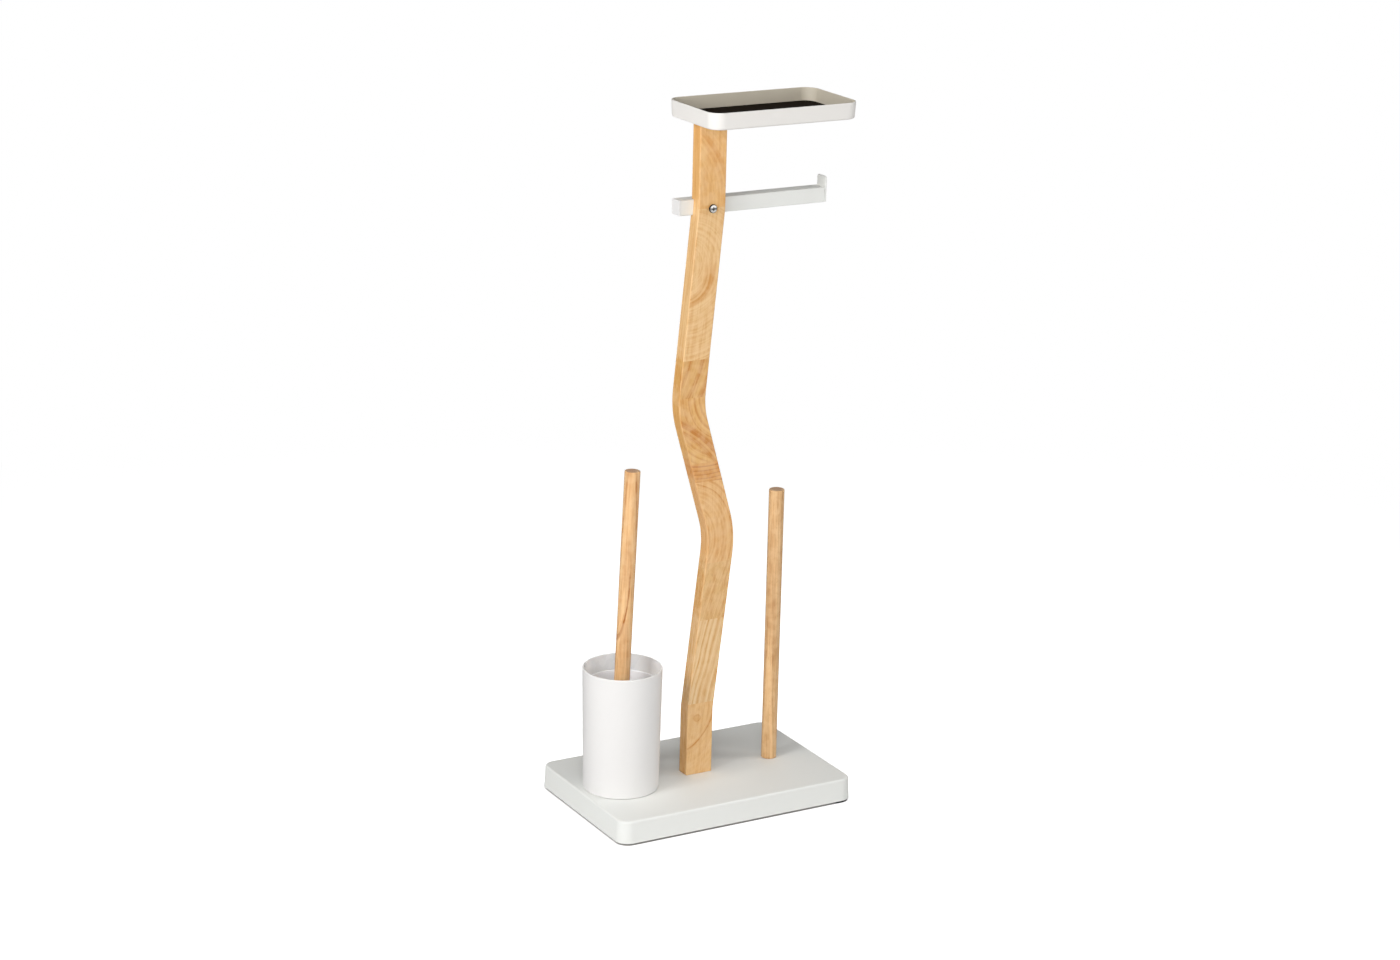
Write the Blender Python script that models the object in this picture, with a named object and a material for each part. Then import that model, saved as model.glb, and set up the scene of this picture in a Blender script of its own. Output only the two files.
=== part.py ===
"""Toilet butler stand: a weighted base, an S-shaped wooden post with a roll bar and a tray,
a rod for spare rolls, and a brush that stands in a lined cup.

Frame: metres, +Z up, X along the long side of the base, Y from front to back.
The origin is on the floor, under the middle of the base.
"""

import math

import bmesh
import bpy
from mathutils import Matrix, Vector

# Fits
FIT = 0.0003                # gap between two pieces that touch
OVERRUN = 0.004             # how far a cutter runs past the piece it cuts
SCREW_FIT = 0.0004          # gap round a screw in its hole
BORE_FIT = 0.0015           # gap round a washer in its counterbore

# Overall
TOTAL_HEIGHT = 0.800

# Base
BASE_WIDTH = 0.300
BASE_DEPTH = 0.200
BASE_CORNER = 0.015
BASE_HEIGHT = 0.026         # pressed pan, without the feet
BASE_DRAFT = 0.0010
BASE_ARRIS = 0.0025
BASE_SHEET = 0.0012
CORE_RECESS = 0.0005        # how far the core stays up inside the pan's lip
FOOT_HEIGHT = 0.0025        # the pan's lip above the floor
FOOT_RADIUS = 0.010
FOOT_EDGE = 0.0006
FOOT_INSET = 0.0055         # from the foot's rim to the pan's side

# Row of uprights
ROW_X = -0.0027             # the post's foot
ROW_Y = -0.0015
CUP_SPACING = 0.0965
ROD_SPACING = 0.0975

# Post
POST_WIDTH = 0.033
POST_THICKNESS = 0.0172
POST_ARRIS = 0.0012
POST_SWAY = 0.0231
POST_BEND_RADIUS = 0.107
BEND_HEIGHT_SHARES = (0.1035, 0.3758, 0.5762, 0.8715)
BEND_SWAY_SHARES = (0.0, 1.0, -0.89, 0.0)

# Tray
TRAY_WIDTH = 0.184
TRAY_DEPTH = 0.104
TRAY_HEIGHT = 0.0187
TRAY_CORNER = 0.016
TRAY_DRAFT = 0.0010
TRAY_ARRIS = 0.0022
TRAY_SHEET = 0.0012
TRAY_OVERHANG = 0.0148      # past the post's left side
TRAY_FORWARD = 0.0088       # its middle in front of the post's middle
MAT_THICKNESS = 0.003
MAT_MARGIN = 0.0012         # from the mat to the tray's wall
MAT_EDGE = 0.0006

# Roll bar
BAR_SIZE = 0.017
BAR_WALL = 0.0012
BAR_ARRIS = 0.0012
BAR_LENGTH = 0.1863         # from the cap's face to the stop's face
BAR_OVERHANG = 0.0173       # past the post's left side
BAR_DROP = 0.0870           # from the tray's underside to the bar's top
BAR_SEAT = 0.0045           # how deep it sits in the post
CAP_THICKNESS = 0.0015
CAP_DEPTH = 0.010
STOP_THICKNESS = 0.0025
STOP_RISE = 0.012
STOP_CORNER = 0.003

# Spare roll rod and brush handle, both from one dowel
DOWEL_DIAMETER = 0.0176
DOWEL_EASE = 0.0012
ROD_LENGTH = 0.3242

# Screws, nuts and washers
SCREW_DIAMETER = 0.005
HEAD_DIAMETER = 0.0096
HEAD_HEIGHT = 0.0028
HEAD_EDGE = 0.0009
RECESS_ARM = 0.0027
RECESS_WIDTH = 0.0011
RECESS_DEPTH = 0.0016
FOOT_SCREW_BITE = 0.032     # into the post and into the rod
POST_SCREW_SPACING = 0.018
TRAY_SCREW_SPACING = 0.016
TRAY_SCREW_BITE = 0.026
TRAY_HEAD_HEIGHT = 0.0014
COUNTERBORE_DEPTH = 0.012
WASHER_DIAMETER = 0.014
WASHER_THICKNESS = 0.0012
NUT_DIAMETER = 0.011
NUT_HEIGHT = 0.0045
SCREW_TIP = 0.001           # past its nut

# Brush cup and its liner
CUP_RIM_RADIUS = 0.0450
CUP_FOOT_RADIUS = 0.0429
CUP_HEIGHT = 0.1425
CUP_WALL = 0.0020
CUP_FLOOR = 0.0025
CUP_ARRIS = 0.0015
LINER_DROP = 0.019          # its rim below the cup's rim
LINER_WALL = 0.0015
LINER_FLOOR = 0.0020
LINER_CLEARANCE = 0.0005
LINER_HEADROOM = 0.0012     # between the cup's screw and the liner's floor

# Brush
BRUSH_LEAN = math.radians(2.15)
BRUSH_CLEARANCE = 0.0028    # from the bristles to the liner
HUB_RADIUS = 0.0070
HUB_BORE = 0.0050
HUB_LENGTH = 0.062
HUB_LIFT = 0.0130           # the hub's end above the bristles' lowest tips
HUB_DOME = 0.0050
STRANDS_AROUND = 20
STRAND_ROWS = 20
STRAND_MARGIN = 0.0005
TIP_SHARE = 0.55
SPLAY_ANGLE = math.radians(56)
SPLAY_ROWS_SHARE = 0.30
CORE_FLANGE_RADIUS = 0.0085
CORE_FLANGE = 0.0025
NECK_WALL = 0.0018
NECK_CONE = 0.014
NECK_SOCKET = 0.014
NECK_FOOT_RADIUS = 0.0080
STUD_DIAMETER = 0.006
STUD_BITE = 0.018
HANDLE_LENGTH = 0.2653

# Mesh steps
CORNER_STEPS = 6
ARRIS_STEPS = 3
BEND_STEPS = 6
FINE_ROUND = 48
ROUND = 28
SMALL_ROUND = 16
SHARP_ANGLE = math.radians(35)

# Heights and places that follow from the sizes above
BASE_TOP = FOOT_HEIGHT + BASE_HEIGHT
CORE_BOTTOM = FOOT_HEIGHT + CORE_RECESS
CORE_TOP = BASE_TOP - BASE_SHEET - FIT
BORE_CEILING = CORE_BOTTOM + COUNTERBORE_DEPTH
UPRIGHT_BOTTOM = BASE_TOP + FIT
TRAY_BOTTOM = TOTAL_HEIGHT - TRAY_HEIGHT
TRAY_FLOOR = TRAY_BOTTOM + TRAY_SHEET
POST_TOP = TRAY_BOTTOM - FIT
POST_LENGTH = POST_TOP - UPRIGHT_BOTTOM
POST_LEFT = ROW_X - POST_WIDTH / 2
POST_FRONT = ROW_Y - POST_THICKNESS / 2
POST_BACK = ROW_Y + POST_THICKNESS / 2
TRAY_X = POST_LEFT - TRAY_OVERHANG + TRAY_WIDTH / 2
TRAY_Y = ROW_Y - TRAY_FORWARD
BAR_LEFT = POST_LEFT - BAR_OVERHANG
BAR_RIGHT = BAR_LEFT + BAR_LENGTH
BAR_Y = POST_BACK - BAR_SEAT + BAR_SIZE / 2
BAR_Z = TRAY_BOTTOM - BAR_DROP - BAR_SIZE / 2
TUBE_LEFT = BAR_LEFT + CAP_THICKNESS + FIT
TUBE_LENGTH = BAR_RIGHT - STOP_THICKNESS - FIT - TUBE_LEFT
BAR_FRONT = BAR_Y - BAR_SIZE / 2
CUP_X = ROW_X - CUP_SPACING
ROD_X = ROW_X + ROD_SPACING
CUP_RIM = UPRIGHT_BOTTOM + CUP_HEIGHT
CUP_FLOOR_TOP = UPRIGHT_BOTTOM + CUP_FLOOR
NUT_TOP = CUP_FLOOR_TOP + FIT + NUT_HEIGHT
LINER_BOTTOM = CUP_FLOOR_TOP + FIT
LINER_FLOOR_BOTTOM = NUT_TOP + SCREW_TIP + LINER_HEADROOM
LINER_FLOOR_TOP = LINER_FLOOR_BOTTOM + LINER_FLOOR
LINER_RIM = CUP_RIM - LINER_DROP
SHANK_RADIUS = SCREW_DIAMETER / 2
HOLE_RADIUS = SHANK_RADIUS + SCREW_FIT


def cup_radius(height):
    """The cup's outer radius at a height above the floor of the room."""
    share = (height - UPRIGHT_BOTTOM) / CUP_HEIGHT
    return CUP_FOOT_RADIUS + (CUP_RIM_RADIUS - CUP_FOOT_RADIUS) * share


def liner_radius(height):
    return cup_radius(height) - CUP_WALL - LINER_CLEARANCE


# Scene, materials and objects

def clear_scene():
    for item in list(bpy.data.objects):
        bpy.data.objects.remove(item, do_unlink=True)


def make_material(name, colour, roughness, metallic=0.0):
    material = bpy.data.materials.new(name)
    material.use_nodes = True
    shader = material.node_tree.nodes["Principled BSDF"]
    shader.inputs["Base Color"].default_value = (*colour, 1.0)
    shader.inputs["Roughness"].default_value = roughness
    shader.inputs["Metallic"].default_value = metallic
    return material


def add_object(name, bm, material=None, location=(0, 0, 0), rotation=(0, 0, 0), parent=None):
    mesh = bpy.data.meshes.new(name)
    bm.to_mesh(mesh)
    bm.free()
    if material:
        mesh.materials.append(material)
    mesh.shade_smooth()
    mesh.set_sharp_from_angle(angle=SHARP_ANGLE)
    item = bpy.data.objects.new(name, mesh)
    item.location = location
    item.rotation_euler = rotation
    item.parent = parent
    bpy.context.collection.objects.link(item)
    return item


def add_copies(places, bm, material, rotation=(0, 0, 0)):
    """One object for each name and location in places, all with the same mesh."""
    (first_name, first_location), *others = places
    first = add_object(first_name, bm, material, first_location, rotation)
    for name, location in others:
        item = bpy.data.objects.new(name, first.data)
        item.location = location
        item.rotation_euler = rotation
        bpy.context.collection.objects.link(item)


def cut(target, name, bm, location=(0, 0, 0), rotation=(0, 0, 0)):
    """Cuts the bodies in bm out of the target with one Boolean modifier."""
    cutter = add_object(name, bm, None, location, rotation, target.parent)
    cutter.hide_render = True
    cutter.display_type = "WIRE"
    modifier = target.modifiers.new(name, "BOOLEAN")
    modifier.operation = "DIFFERENCE"
    modifier.solver = "EXACT"
    modifier.object = cutter
    return cutter


# Outlines, counterclockwise from above

def circle(radius, height, segments=ROUND, centre=(0.0, 0.0)):
    turn = 2 * math.pi / segments
    return [
        Vector((centre[0] + radius * math.cos(turn * i), centre[1] + radius * math.sin(turn * i), height))
        for i in range(segments)
    ]


def rounded_rectangle(width, depth, radii, height, steps=CORNER_STEPS, centre=(0.0, 0.0)):
    """radii holds the corner radii at +X+Y, -X+Y, -X-Y and +X-Y, or is one radius for all four."""
    if isinstance(radii, float):
        radii = (radii,) * 4
    points = []
    for quarter, (side_x, side_y) in enumerate(((1, 1), (-1, 1), (-1, -1), (1, -1))):
        radius = radii[quarter]
        middle_x = centre[0] + side_x * (width / 2 - radius)
        middle_y = centre[1] + side_y * (depth / 2 - radius)
        for step in range(steps + 1):
            angle = math.pi / 2 * (quarter + step / steps)
            x = middle_x + radius * math.cos(angle)
            y = middle_y + radius * math.sin(angle)
            points.append(Vector((x, y, height)))
    return points


# Bodies

def add_loft(bm, rings, closed=False):
    """Joins rings of points into one closed body.

    The rings follow the body's section with its outside on the right: up an outer wall,
    down an inner one. The first and last rings are filled, unless the section is closed.
    """
    rows = [[bm.verts.new(point) for point in ring] for ring in rings]
    pairs = list(zip(rows, rows[1:]))
    if closed:
        pairs.append((rows[-1], rows[0]))
    for low, high in pairs:
        for i in range(len(low)):
            j = (i + 1) % len(low)
            bm.faces.new((low[i], low[j], high[j], high[i]))
    if not closed:
        bm.faces.new(list(reversed(rows[0])))
        bm.faces.new(rows[-1])
    return rows


def loft(rings, closed=False):
    bm = bmesh.new()
    add_loft(bm, rings, closed)
    return bm


def turned(section, segments=ROUND, centre=(0.0, 0.0), closed=False):
    """A body of revolution from (radius, height) pairs."""
    return loft([circle(radius, height, segments, centre) for radius, height in section], closed)


def arc(centre_r, centre_z, radius, start, end, steps=ARRIS_STEPS):
    """(radius, height) pairs along an arc in a turned section, from angle start to angle end in degrees."""
    pairs = []
    for step in range(steps + 1):
        angle = math.radians(start + (end - start) * step / steps)
        pairs.append((centre_r + radius * math.cos(angle), centre_z + radius * math.sin(angle)))
    return pairs


def dish_rings(width, depth, corner, draft, arris, flat, lip, inset=0.0):
    """Rings of a pressed dish's wall, from the edge of its flat face to its open lip.

    The wall leans out by draft from the flat face to the lip, and arris rounds the corner between them.
    inset moves the whole wall in, for an inner face.
    """
    way = 1 if lip > flat else -1
    insets = []
    for step in range(ARRIS_STEPS + 1):
        angle = math.pi / 2 * step / ARRIS_STEPS
        insets.append((draft + arris * (1 - math.sin(angle)), flat + way * arris * (1 - math.cos(angle))))
    insets.append((0.0, lip))
    rings = []
    for inward, height in insets:
        step_in = inset + inward
        radius = max(corner - step_in, arris)
        rings.append(rounded_rectangle(width - 2 * step_in, depth - 2 * step_in, radius, height))
    return rings


def screw(length, head_height=HEAD_HEIGHT):
    """A screw along Z whose head sits on top of the plane Z = 0, one FIT above it."""
    head_radius = HEAD_DIAMETER / 2
    top = FIT + head_height
    edge = min(HEAD_EDGE, head_height / 2)
    section = [(SHANK_RADIUS, -length), (SHANK_RADIUS, FIT), (head_radius, FIT)]
    section += arc(head_radius - edge, top - edge, edge, 0, 90)
    return turned(section, SMALL_ROUND)


def collar(diameter, height):
    """A washer or a nut: a ring that stands on Z = 0."""
    radius = diameter / 2
    section = ((radius, 0.0), (radius, height), (HOLE_RADIUS, height), (HOLE_RADIUS, 0.0))
    return turned(section, SMALL_ROUND, closed=True)


def add_cylinder(bm, radius, low, high, centre=(0.0, 0.0), segments=SMALL_ROUND):
    add_loft(bm, [circle(radius, low, segments, centre), circle(radius, high, segments, centre)])


def cross_recess():
    """A cutter for a crosshead recess, which narrows from Z = 0 down."""
    bm = bmesh.new()
    rings = []
    for height, share in ((-RECESS_DEPTH, TIP_SHARE), (OVERRUN, 1.0)):
        arm = RECESS_ARM * share
        half = RECESS_WIDTH / 2
        ring = []
        for quarter in range(4):
            turn = Matrix.Rotation(math.pi / 2 * quarter, 3, "Z")
            for x, y in ((arm, -half), (arm, half), (half, half)):
                ring.append(turn @ Vector((x, y, height)))
        rings.append(ring)
    add_loft(bm, rings)
    return bm


# Base

def foot_places():
    """Name and centre of each foot."""
    reach_x = BASE_WIDTH / 2 - FOOT_INSET - FOOT_RADIUS
    reach_y = BASE_DEPTH / 2 - FOOT_INSET - FOOT_RADIUS
    for row, y in (("front", -reach_y), ("back", reach_y)):
        for side, x in (("left", -reach_x), ("right", reach_x)):
            yield f"foot_{row}_{side}", (x, y)


def base_screw_places():
    """Every screw that comes up through the base: two for the post, one for the rod, one for the cup."""
    half = POST_SCREW_SPACING / 2
    yield "post_left", (ROW_X - half, ROW_Y)
    yield "post_right", (ROW_X + half, ROW_Y)
    yield "rod", (ROD_X, ROW_Y)
    yield "cup", (CUP_X, ROW_Y)


def build_base(painted_steel, fibreboard, rubber):
    dish = (BASE_WIDTH, BASE_DEPTH, BASE_CORNER, BASE_DRAFT)
    inner_arris = BASE_ARRIS - BASE_SHEET
    inner = dish_rings(*dish, inner_arris, BASE_TOP - BASE_SHEET, FOOT_HEIGHT, inset=BASE_SHEET)
    outer = dish_rings(*dish, BASE_ARRIS, BASE_TOP, FOOT_HEIGHT)
    shell = add_object("base_shell", loft(inner + outer[::-1]), painted_steel)

    holes = bmesh.new()
    for _, place in base_screw_places():
        add_cylinder(holes, HOLE_RADIUS, BASE_TOP - BASE_SHEET - OVERRUN, BASE_TOP + OVERRUN, place)
    cut(shell, "shell_holes", holes)

    filling = dish_rings(*dish, inner_arris, CORE_TOP, CORE_BOTTOM, inset=BASE_SHEET + FIT)
    core = add_object("base_core", loft(filling[::-1]), fibreboard)
    holes = bmesh.new()
    bore = WASHER_DIAMETER / 2 + BORE_FIT
    for _, place in base_screw_places():
        steps = (
            (bore, CORE_BOTTOM - OVERRUN),
            (bore, BORE_CEILING),
            (HOLE_RADIUS, BORE_CEILING),
            (HOLE_RADIUS, CORE_TOP + OVERRUN),
        )
        add_loft(holes, [circle(radius, height, SMALL_ROUND, place) for radius, height in steps])
    cut(core, "core_holes", holes)

    foot = arc(FOOT_RADIUS - FOOT_EDGE, FOOT_EDGE, FOOT_EDGE, -90, 0) + [(FOOT_RADIUS, CORE_BOTTOM - FIT)]
    add_copies([(name, (x, y, 0)) for name, (x, y) in foot_places()], turned(foot), rubber)


def build_base_screws(zinc):
    """Screws that point up through the base, each with its head under a washer."""
    washer_bottom = BORE_CEILING - FIT - WASHER_THICKNESS
    washers = [(f"washer_{name}", (x, y, washer_bottom)) for name, (x, y) in base_screw_places()]
    add_copies(washers, collar(WASHER_DIAMETER, WASHER_THICKNESS), zinc)

    seat = washer_bottom - FIT
    point_up = (math.pi, 0, 0)
    seats = [(f"screw_{name}", (x, y, seat)) for name, (x, y) in base_screw_places()]
    add_copies(seats[:-1], screw(UPRIGHT_BOTTOM + FOOT_SCREW_BITE - seat), zinc, point_up)
    add_copies(seats[-1:], screw(NUT_TOP + SCREW_TIP - seat), zinc, point_up)


# Post

def post_path():
    """Points (x, z, lean) up the post's middle line, with an arc at each bend."""
    corners = [(ROW_X, UPRIGHT_BOTTOM)]
    for height_share, sway_share in zip(BEND_HEIGHT_SHARES, BEND_SWAY_SHARES):
        corners.append((ROW_X + POST_SWAY * sway_share, UPRIGHT_BOTTOM + POST_LENGTH * height_share))
    corners.append((ROW_X, POST_TOP))
    leans = [math.atan2(b[0] - a[0], b[1] - a[1]) for a, b in zip(corners, corners[1:])]
    path = [(*corners[0], leans[0])]
    for (x, z), before, after in zip(corners[1:-1], leans, leans[1:]):
        turn = after - before
        run = POST_BEND_RADIUS * math.tan(abs(turn) / 2)
        start_x = x - run * math.sin(before)
        start_z = z - run * math.cos(before)
        radius = math.copysign(POST_BEND_RADIUS, turn)
        for step in range(BEND_STEPS + 1):
            lean = before + turn * step / BEND_STEPS
            arc_x = start_x + radius * (math.cos(before) - math.cos(lean))
            arc_z = start_z + radius * (math.sin(lean) - math.sin(before))
            path.append((arc_x, arc_z, lean))
    path.append((*corners[-1], leans[-1]))
    return path


def build_post(wood):
    section = rounded_rectangle(POST_WIDTH, POST_THICKNESS, POST_ARRIS, 0.0, steps=2)
    rings = []
    for x, z, lean in post_path():
        ring = [
            Vector((x + point.x * math.cos(lean), ROW_Y + point.y, z - point.x * math.sin(lean)))
            for point in section
        ]
        rings.append(ring)
    post = add_object("post", loft(rings), wood)

    notch_low = BAR_Z - BAR_SIZE / 2 - FIT
    notch_high = BAR_Z + BAR_SIZE / 2 + FIT
    notch_depth = BAR_SEAT + FIT + OVERRUN
    notch_y = BAR_FRONT - FIT + notch_depth / 2
    half_width = POST_WIDTH + OVERRUN
    notch = bmesh.new()
    outline = [(-half_width, -notch_depth / 2), (half_width, -notch_depth / 2),
               (half_width, notch_depth / 2), (-half_width, notch_depth / 2)]
    add_loft(notch, [[Vector((x, y, z)) for x, y in outline] for z in (notch_low, notch_high)])
    cut(post, "post_notch", notch, (ROW_X, notch_y, 0))

    bar_hole = bmesh.new()
    reach = POST_THICKNESS / 2 + OVERRUN
    add_cylinder(bar_hole, HOLE_RADIUS, -reach, reach)
    cut(post, "post_bar_hole", bar_hole, (ROW_X, ROW_Y, BAR_Z), (math.pi / 2, 0, 0))

    pilots = bmesh.new()
    for name, place in base_screw_places():
        if name.startswith("post"):
            top = UPRIGHT_BOTTOM + FOOT_SCREW_BITE + SCREW_TIP
            add_cylinder(pilots, HOLE_RADIUS, UPRIGHT_BOTTOM - OVERRUN, top, place)
    for _, place in tray_screw_places():
        bottom = POST_TOP - TRAY_SCREW_BITE - SCREW_TIP
        add_cylinder(pilots, HOLE_RADIUS, bottom, POST_TOP + OVERRUN, place)
    cut(post, "post_pilots", pilots)


# Tray

def tray_screw_places():
    half = TRAY_SCREW_SPACING / 2
    yield "tray_left", (ROW_X - half, ROW_Y)
    yield "tray_right", (ROW_X + half, ROW_Y)


def build_tray(painted_steel, mat_rubber, zinc):
    dish = (TRAY_WIDTH, TRAY_DEPTH, TRAY_CORNER, TRAY_DRAFT)
    outer = dish_rings(*dish, TRAY_ARRIS, TRAY_BOTTOM, TOTAL_HEIGHT)
    inner = dish_rings(*dish, TRAY_ARRIS - TRAY_SHEET, TRAY_FLOOR, TOTAL_HEIGHT, inset=TRAY_SHEET)
    tray = add_object("tray", loft(outer + inner[::-1]), painted_steel, (TRAY_X, TRAY_Y, 0))
    places = [(x - TRAY_X, y - TRAY_Y) for _, (x, y) in tray_screw_places()]
    holes = bmesh.new()
    for place in places:
        add_cylinder(holes, HOLE_RADIUS, TRAY_BOTTOM - OVERRUN, TRAY_FLOOR + OVERRUN, place)
    cut(tray, "tray_holes", holes, (TRAY_X, TRAY_Y, 0))

    seats = [(f"screw_{name}", (x, y, TRAY_FLOOR)) for name, (x, y) in tray_screw_places()]
    length = TRAY_SCREW_BITE + TRAY_SHEET + FIT
    add_copies(seats, screw(length, TRAY_HEAD_HEIGHT), zinc)

    inset = TRAY_SHEET + TRAY_DRAFT + MAT_MARGIN
    width = TRAY_WIDTH - 2 * inset
    depth = TRAY_DEPTH - 2 * inset
    corner = TRAY_CORNER - inset
    top = FIT + MAT_THICKNESS
    rings = [
        rounded_rectangle(width, depth, corner, FIT),
        rounded_rectangle(width, depth, corner, top - MAT_EDGE),
        rounded_rectangle(width - 2 * MAT_EDGE, depth - 2 * MAT_EDGE, corner - MAT_EDGE, top),
    ]
    mat = add_object("tray_mat", loft(rings), mat_rubber, (TRAY_X, TRAY_Y, TRAY_FLOOR))
    pockets = bmesh.new()
    for place in places:
        ceiling = FIT + TRAY_HEAD_HEIGHT + FIT
        add_cylinder(pockets, HEAD_DIAMETER / 2 + SCREW_FIT, FIT - OVERRUN, ceiling, place)
    cut(mat, "mat_pockets", pockets, (TRAY_X, TRAY_Y, TRAY_FLOOR))


# Roll bar, along X: each piece is lofted along Z and laid over

def build_bar(painted_steel, white_plastic, chrome, zinc):
    lay_over = (0, math.pi / 2, 0)
    bore = BAR_SIZE - 2 * BAR_WALL
    bore_corner = BAR_ARRIS / 2

    def square(size, corner, height):
        return rounded_rectangle(size, size, corner, height, steps=2)

    tube = loft([
        square(BAR_SIZE, BAR_ARRIS, 0.0),
        square(BAR_SIZE, BAR_ARRIS, TUBE_LENGTH),
        square(bore, bore_corner, TUBE_LENGTH),
        square(bore, bore_corner, 0.0),
    ], closed=True)
    bar = add_object("roll_bar", tube, painted_steel, (TUBE_LEFT, BAR_Y, BAR_Z), lay_over)
    hole = bmesh.new()
    add_cylinder(hole, HOLE_RADIUS, -OVERRUN, BAR_WALL + OVERRUN)
    cut(bar, "bar_hole", hole, (ROW_X, BAR_FRONT, BAR_Z), (-math.pi / 2, 0, 0))

    plug = bore - 2 * FIT
    cap = loft([
        square(BAR_SIZE, BAR_ARRIS, 0.0),
        square(BAR_SIZE, BAR_ARRIS, CAP_THICKNESS),
        square(plug, bore_corner, CAP_THICKNESS),
        square(plug, bore_corner, CAP_THICKNESS + CAP_DEPTH),
    ])
    add_object("bar_end_cap", cap, white_plastic, (BAR_LEFT, BAR_Y, BAR_Z), lay_over)

    height = BAR_SIZE + STOP_RISE
    corners = (BAR_ARRIS, STOP_CORNER, STOP_CORNER, BAR_ARRIS)
    plate = loft([
        rounded_rectangle(height, BAR_SIZE, corners, z, centre=(-STOP_RISE / 2, 0.0))
        for z in (0.0, STOP_THICKNESS)
    ])
    place = (BAR_RIGHT - STOP_THICKNESS, BAR_Y, BAR_Z)
    add_object("bar_stop_plate", plate, painted_steel, place, lay_over)

    nut_y = BAR_FRONT + BAR_WALL + FIT
    nut = collar(NUT_DIAMETER, NUT_HEIGHT)
    add_object("bar_nut", nut, zinc, (ROW_X, nut_y, BAR_Z), (-math.pi / 2, 0, 0))

    length = nut_y + NUT_HEIGHT + SCREW_TIP - POST_FRONT
    face_front = (math.pi / 2, 0, 0)
    fastener = add_object("bar_screw", screw(length), chrome, (ROW_X, POST_FRONT, BAR_Z), face_front)
    recess_y = POST_FRONT - FIT - HEAD_HEIGHT
    cut(fastener, "screw_recess", cross_recess(), (ROW_X, recess_y, BAR_Z), face_front)


# Spare roll rod

def dowel_section(length, bore_radius, bore_depth):
    """A dowel on Z = 0 with eased ends and a blind hole up its foot."""
    radius = DOWEL_DIAMETER / 2
    section = [(bore_radius, bore_depth), (bore_radius, 0.0), (radius, 0.0)]
    section += arc(radius - DOWEL_EASE, length - DOWEL_EASE, DOWEL_EASE, 0, 90)
    return section


def build_rod(wood):
    section = dowel_section(ROD_LENGTH, HOLE_RADIUS, FOOT_SCREW_BITE + SCREW_TIP)
    add_object("spare_roll_rod", turned(section), wood, (ROD_X, ROW_Y, UPRIGHT_BOTTOM))


# Brush cup and liner

def build_cup(white_plastic, zinc):
    rim = CUP_WALL / 2
    slope = (CUP_RIM_RADIUS - CUP_FOOT_RADIUS) / CUP_HEIGHT
    section = [(HOLE_RADIUS, 0.0)]
    section += arc(CUP_FOOT_RADIUS - CUP_ARRIS, CUP_ARRIS, CUP_ARRIS, -90, 0)
    section += arc(CUP_RIM_RADIUS - rim, CUP_HEIGHT - rim, rim, 0, 180, 4)
    section += [(CUP_FOOT_RADIUS + slope * CUP_FLOOR - CUP_WALL, CUP_FLOOR), (HOLE_RADIUS, CUP_FLOOR)]
    cup = turned(section, FINE_ROUND, closed=True)
    add_object("brush_cup", cup, white_plastic, (CUP_X, ROW_Y, UPRIGHT_BOTTOM))

    nut = collar(NUT_DIAMETER, NUT_HEIGHT)
    add_object("cup_nut", nut, zinc, (CUP_X, ROW_Y, CUP_FLOOR_TOP + FIT))


def build_liner(liner_plastic):
    rim = LINER_WALL / 2
    foot = liner_radius(LINER_BOTTOM)
    top = liner_radius(LINER_RIM)

    def inside(height):
        return liner_radius(height) - LINER_WALL

    section = [(inside(LINER_FLOOR_BOTTOM), LINER_FLOOR_BOTTOM), (inside(LINER_BOTTOM), LINER_BOTTOM)]
    section += [(foot, LINER_BOTTOM)]
    section += arc(top - rim, LINER_RIM - rim, rim, 0, 180, 4)
    section += [(inside(LINER_FLOOR_TOP), LINER_FLOOR_TOP)]
    section = [(radius, height - LINER_BOTTOM) for radius, height in section]
    liner = turned(section, FINE_ROUND)
    return add_object("cup_liner", liner, liner_plastic, (CUP_X, ROW_Y, LINER_BOTTOM))


# Brush, along its own leaning axis

def hub_profile(share):
    """Radius and height of the hub's surface, from its domed end at 0 to its top at 1."""
    dome_share = HUB_DOME / HUB_LENGTH
    height = HUB_LIFT + HUB_LENGTH * share
    if share >= dome_share:
        return HUB_RADIUS, height
    drop = 1 - share / dome_share
    return HUB_RADIUS - (HUB_RADIUS - HUB_BORE) * drop * drop, height


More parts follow.
